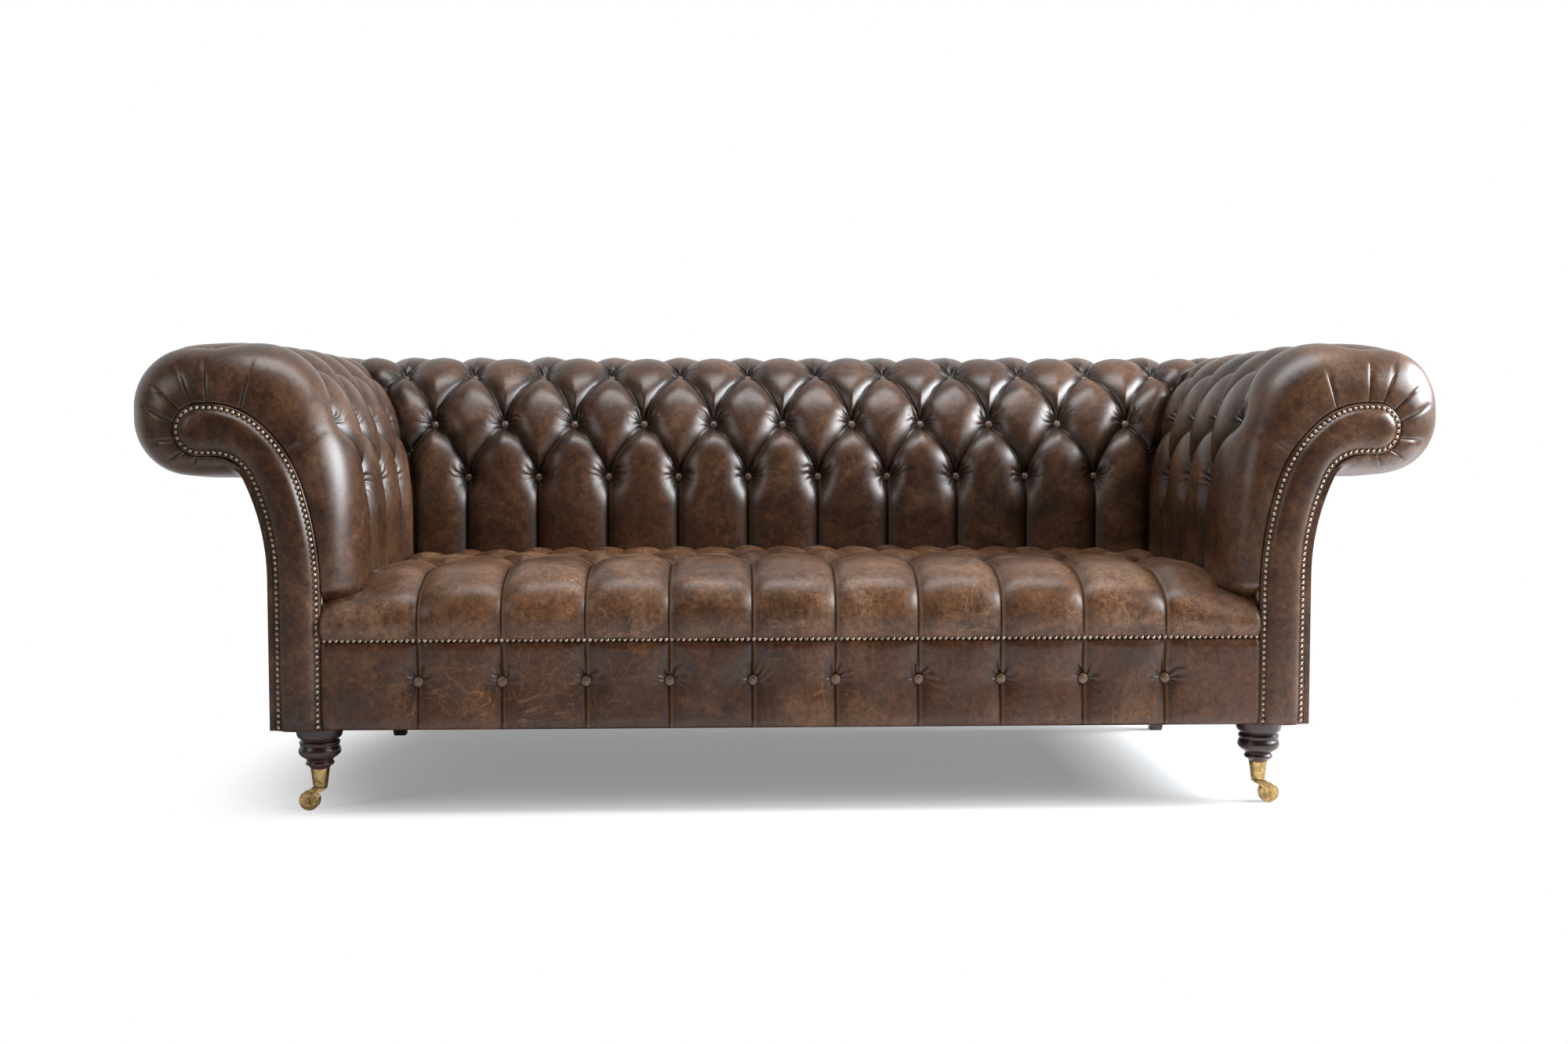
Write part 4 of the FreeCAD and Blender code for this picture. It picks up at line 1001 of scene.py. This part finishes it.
railLine = evenly([(-nail["railHalf"], nail["railRise"]), (nail["railHalf"], nail["railRise"])])
nailSeats = {
    "leftArmNails": armNailSeats(-1),
    "rightArmNails": armNailSeats(1),
    "railNails": [((x, frontShift + nail["railDepth"], z), (0, -1, 0.05)) for x, z in railLine],
}
nailPieces = [domes(name, seats, **domeValues(nail, nail["radius"], index, nailBrass))
              for index, (name, seats) in enumerate(nailSeats.items())]
buttonPieces = {}
for index, (node, seats) in enumerate(buttonSeats.items()):
    words = node.split("_")
    radius = button["borderRadius" if node == "border_buttons" else "radius"]
    buttonPieces[node] = domes(words[0] + "".join(word.capitalize() for word in words[1:]), seats,
                               **domeValues(button, radius, index, buttonLeather))
print("nails and buttons made")


# Every finished piece rides on one of the object's bodies, most of them on the sofa's own
def settle(piece, nodes, body="sofa"):
    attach(piece, body)
    if nodes:
        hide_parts(*nodes)


# Turned front legs
leg = {
    "across": 0.805, "depth": 0.052, "top": 0.1445, "segments": 56, "curveCuts": 3,
    # drop from the top and radius
    "profile": [(0.0, 0.0385), (0.0030, 0.0392), (0.0100, 0.0386), (0.0160, 0.0372), (0.0192, 0.0352),
                (0.0206, 0.0322), (0.0222, 0.0310), (0.0240, 0.0318), (0.0262, 0.0336), (0.0284, 0.0341),
                (0.0306, 0.0333), (0.0320, 0.0322), (0.0342, 0.0328), (0.0380, 0.0346), (0.0425, 0.0353),
                (0.0470, 0.0340), (0.0510, 0.0304), (0.0545, 0.0254), (0.0572, 0.0222), (0.0588, 0.0216),
                (0.0600, 0.0224), (0.0618, 0.0236), (0.0640, 0.0238), (0.0658, 0.0230), (0.0668, 0.0212),
                (0.0690, 0.0184), (0.0723, 0.0162)],
}


def smoothProfile(points):
    # A curve through the points (Catmull-Rom)
    points = np.array([points[0]] + list(points) + [points[-1]])
    out = []
    for a, b, c, d in zip(points, points[1:], points[2:], points[3:]):
        for k in range(leg["curveCuts"]):
            t = k / leg["curveCuts"]
            out.append(0.5 * (2 * b + (c - a) * t + (2 * a - 5 * b + 4 * c - d) * t * t
                              + (3 * b - a - 3 * c + d) * t ** 3))
    return out + [points[-1]]


verts, faces = [], []
profile = smoothProfile(leg["profile"])
turns = [2 * math.pi * k / leg["segments"] for k in range(leg["segments"])]
for side in (-1, 1):
    faces += [tuple(v + len(verts) for v in face) for face in ringFaces(len(turns), len(profile))]
    verts += [(side * leg["across"] + radius * math.cos(turn),
               frontShift + leg["depth"] + radius * math.sin(turn), leg["top"] - drop)
              for drop, radius in profile for turn in turns]
frontLegs = addObject("frontLegs", newMesh("frontLegs", verts, faces), legWood)
outwardFaces(frontLegs.data)

easing = {
    "cuts": 3, "roundFrom": 30, "sharpFrom": 40,
    # node: name, width of the eased edge, material, body and slot
    "pieces": {
        "castor_cups": ("castorCups", 0.0006, agedBrass, "sofa", "brass"),
        "left_rear_leg": ("leftRearLeg", 0.0025, legWood, "sofa", "leg_wood"),
        "right_rear_leg": ("rightRearLeg", 0.0025, legWood, "sofa", "leg_wood"),
        "left_castor_horn": ("leftCastorHorn", 0.0006, agedBrass, "left_castor_horn", "brass"),
        "right_castor_horn": ("rightCastorHorn", 0.0006, agedBrass, "right_castor_horn", "brass"),
        "left_castor_wheel": ("leftCastorWheel", 0.0012, agedBrass, "left_castor_wheel", "brass"),
        "right_castor_wheel": ("rightCastorWheel", 0.0012, agedBrass, "right_castor_wheel", "brass"),
    },
}


def easedCopy(node, name, width, material):
    # The solid with its hard edges eased
    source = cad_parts[node]
    bm = bmesh.new()
    bm.from_mesh(source.data)
    bmesh.ops.transform(bm, matrix=source.matrix_world, verts=bm.verts)
    bmesh.ops.remove_doubles(bm, verts=bm.verts, dist=2e-6)
    bmesh.ops.dissolve_limit(bm, angle_limit=math.radians(1.0), verts=bm.verts, edges=bm.edges)
    bmesh.ops.recalc_face_normals(bm, faces=bm.faces)
    hard = [e for e in bm.edges
            if len(e.link_faces) == 2 and e.calc_face_angle(0) > math.radians(easing["roundFrom"])]
    bmesh.ops.bevel(bm, geom=hard, offset=width, segments=easing["cuts"], profile=0.5, affect="EDGES",
                    clamp_overlap=True)
    mesh = bpy.data.meshes.new(name)
    bm.to_mesh(mesh)
    bm.free()
    mesh.polygons.foreach_set("use_smooth", [True] * len(mesh.polygons))
    mesh.set_sharp_from_angle(angle=math.radians(easing["sharpFrom"]))
    return addObject(name, mesh, material)


for node, (name, width, material, body, slotName) in easing["pieces"].items():
    settle(easedCopy(node, name, width, material), [node], body=body)
print("legs and castors made")

settle(backPad, ["back_pad"])
settle(seatPad, ["seat_pad"])
settle(borderPad, ["front_border_pad"])
for hand in ("left", "right"):
    settle(armPads[hand], [hand + "_arm_pad"])
    settle(armBoards[hand], [hand + "_facing"])
for node, piece in buttonPieces.items():
    settle(piece, [node])
for piece in nailPieces:
    settle(piece, [])
settle(frontLegs, ["front_legs"])

finishes = {"outside": panelLeather, "webbing": webCloth, "hessian": hessianCloth, "dust": dustCloth,
            "castor": agedBrass, "rail": frameWood, "board": frameWood, "stays": frameWood, "blocks": frameWood}
for name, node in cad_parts.items():
    word = next((word for word in finishes if word in name), None)
    if word and not node.material_slots:
        node.data.materials.append(finishes[word])
    for place in node.material_slots:
        if word:
            place.material = finishes[word]
print("finishes given to the frame's own pieces")


# Floor, light and camera
studio = {
    "floorSize": 9.0, "floorColour": (0.85, 0.85, 0.85),
    "paleness": 0.27,            # how white the floor is under the sofa, where its shadow shows
    "fadeFrom": 0.84, "fadeTo": 1.20, "fadeShape": (1.10, 1.0, 1.0),
    "behind": (0.3, 1.0),        # where the floor turns white for gloss, front to back
    "worldStrength": 0.11,
    "roomStrength": 0.06,        # what gloss shows of the room in front of the backdrop
    "roomEdge": (-0.15, 0.35),
    # name: place, what it looks at, size, watts, colour
    "lamps": {
        "windowLight": ((2.9, -2.0, 2.1), (0.1, 0.0, 0.45), (1.2, 1.6), 46, (0.96, 0.98, 1.0)),
        "sideWindow": ((3.1, -0.5, 1.75), (-0.3, -0.1, 0.5), (1.9, 1.3), 250, (0.93, 0.965, 1.0)),
        "leftFill": ((-3.1, -2.3, 1.9), (0.0, 0.0, 0.4), (1.2, 1.6), 22, (1.0, 0.98, 0.96)),
        "overhead": ((0.1, -0.6, 3.0), (0.0, 0.05, 0.4), (2.6, 0.9), 72, (0.97, 0.985, 1.0)),
    },
}


def seenDirectly(tree, rays, gloss):
    seen = maths(tree, "ADD", rays["Is Camera Ray"], gloss)
    return maths(tree, "ADD", seen, rays["Is Transmission Ray"], clamp=True)


def mixShaders(tree, share, first, second, surface):
    blend = put(tree, "ShaderNodeMixShader", Fac=share)
    feed(tree, first, blend.inputs[1])
    feed(tree, second, blend.inputs[2])
    feed(tree, blend.outputs[0], surface)


half = studio["floorSize"]
corners = [(-half, -half, 0), (half, -half, 0), (half, half, 0), (-half, half, 0)]
paleFloor = bpy.data.materials.new("paleFloor")
floor = addObject("floor", newMesh("floor", corners, [(0, 1, 2, 3)]), paleFloor)
tree, surface = newTree(paleFloor)
where = objectPlace(tree)
oval = put(tree, "ShaderNodeMapping", Vector=where, Scale=studio["fadeShape"]).outputs[0]
far = put(tree, "ShaderNodeVectorMath", operation="LENGTH", Vector=oval).outputs["Value"]
fade = span(tree, far, studio["fadeFrom"], studio["fadeTo"], studio["paleness"], 1.0, "SMOOTHSTEP")
back = put(tree, "ShaderNodeSeparateXYZ", Vector=where).outputs["Y"]
behind = span(tree, back, *studio["behind"], 0.0, 1.0, "SMOOTHSTEP")
rays = put(tree, "ShaderNodeLightPath").outputs
floorGloss = maths(tree, "MULTIPLY", rays["Is Glossy Ray"], behind)
paint = put(tree, "ShaderNodeBsdfDiffuse", Color=(*studio["floorColour"], 1)).outputs[0]
white = put(tree, "ShaderNodeEmission").outputs[0]
mixShaders(tree, maths(tree, "MULTIPLY", fade, seenDirectly(tree, rays, floorGloss)), paint, white, surface)

# The backdrop is white behind the sofa, and gloss shows a dimmer room on the camera's side of it
world = bpy.data.worlds.new("studio")
bpy.context.scene.world = world
tree, surface = newTree(world, "ShaderNodeOutputWorld")
rays = put(tree, "ShaderNodeLightPath").outputs
skyWay = put(tree, "ShaderNodeSeparateXYZ", Vector=put(tree, "ShaderNodeTexCoord").outputs["Generated"])
room = span(tree, skyWay.outputs["Y"], *studio["roomEdge"], studio["roomStrength"], 1.0, "SMOOTHSTEP")
room = maths(tree, "MAXIMUM", room, rays["Is Camera Ray"])
dim, bright = [put(tree, "ShaderNodeBackground", Color=(1, 1, 1, 1), Strength=strength).outputs[0]
               for strength in (studio["worldStrength"], room)]
mixShaders(tree, seenDirectly(tree, rays, rays["Is Glossy Ray"]), dim, bright, surface)

for name, (place, target, size, watts, colour) in studio["lamps"].items():
    lamp = bpy.data.lights.new(name, "AREA")
    lamp.shape, lamp.size, lamp.size_y, lamp.energy, lamp.color = "RECTANGLE", size[0], size[1], watts, colour
    holder = addObject(name, lamp)
    holder.location = place
    holder.rotation_euler = (Vector(target) - Vector(place)).to_track_quat("-Z", "Y").to_euler()

# Each tree is laid out in rows, for whoever opens it
trees = [block.node_tree for block in list(bpy.data.materials) + [world] if block.use_nodes]
for tree in trees + list(bpy.data.node_groups):
    for index, node in enumerate(tree.nodes):
        node.location = (index % 8 * 200, index // 8 * -320)

shot = {"place": (-0.1113, -3.2367, 0.6467), "yaw": 0.0337, "pitch": 0.0561, "roll": -0.0009, "lens": 38.2}
camera = bpy.data.cameras.new("camera")
camera.lens, camera.sensor_width, camera.sensor_fit = shot["lens"], 36, "HORIZONTAL"
camera.clip_end = 100
viewer = addObject("camera", camera)
yaw, pitch = shot["yaw"], shot["pitch"]
ahead = Vector((math.sin(yaw) * math.cos(pitch), math.cos(yaw) * math.cos(pitch), -math.sin(pitch)))
across = Vector((math.cos(yaw), -math.sin(yaw), 0))
turned = Matrix((across, across.cross(ahead), -ahead)).transposed() @ Matrix.Rotation(shot["roll"], 3, "Z")
viewer.matrix_world = Matrix.Translation(shot["place"]) @ turned.to_4x4()
bpy.context.scene.camera = viewer
bpy.context.scene.view_settings.view_transform = "Standard"
print("floor, light and camera set")
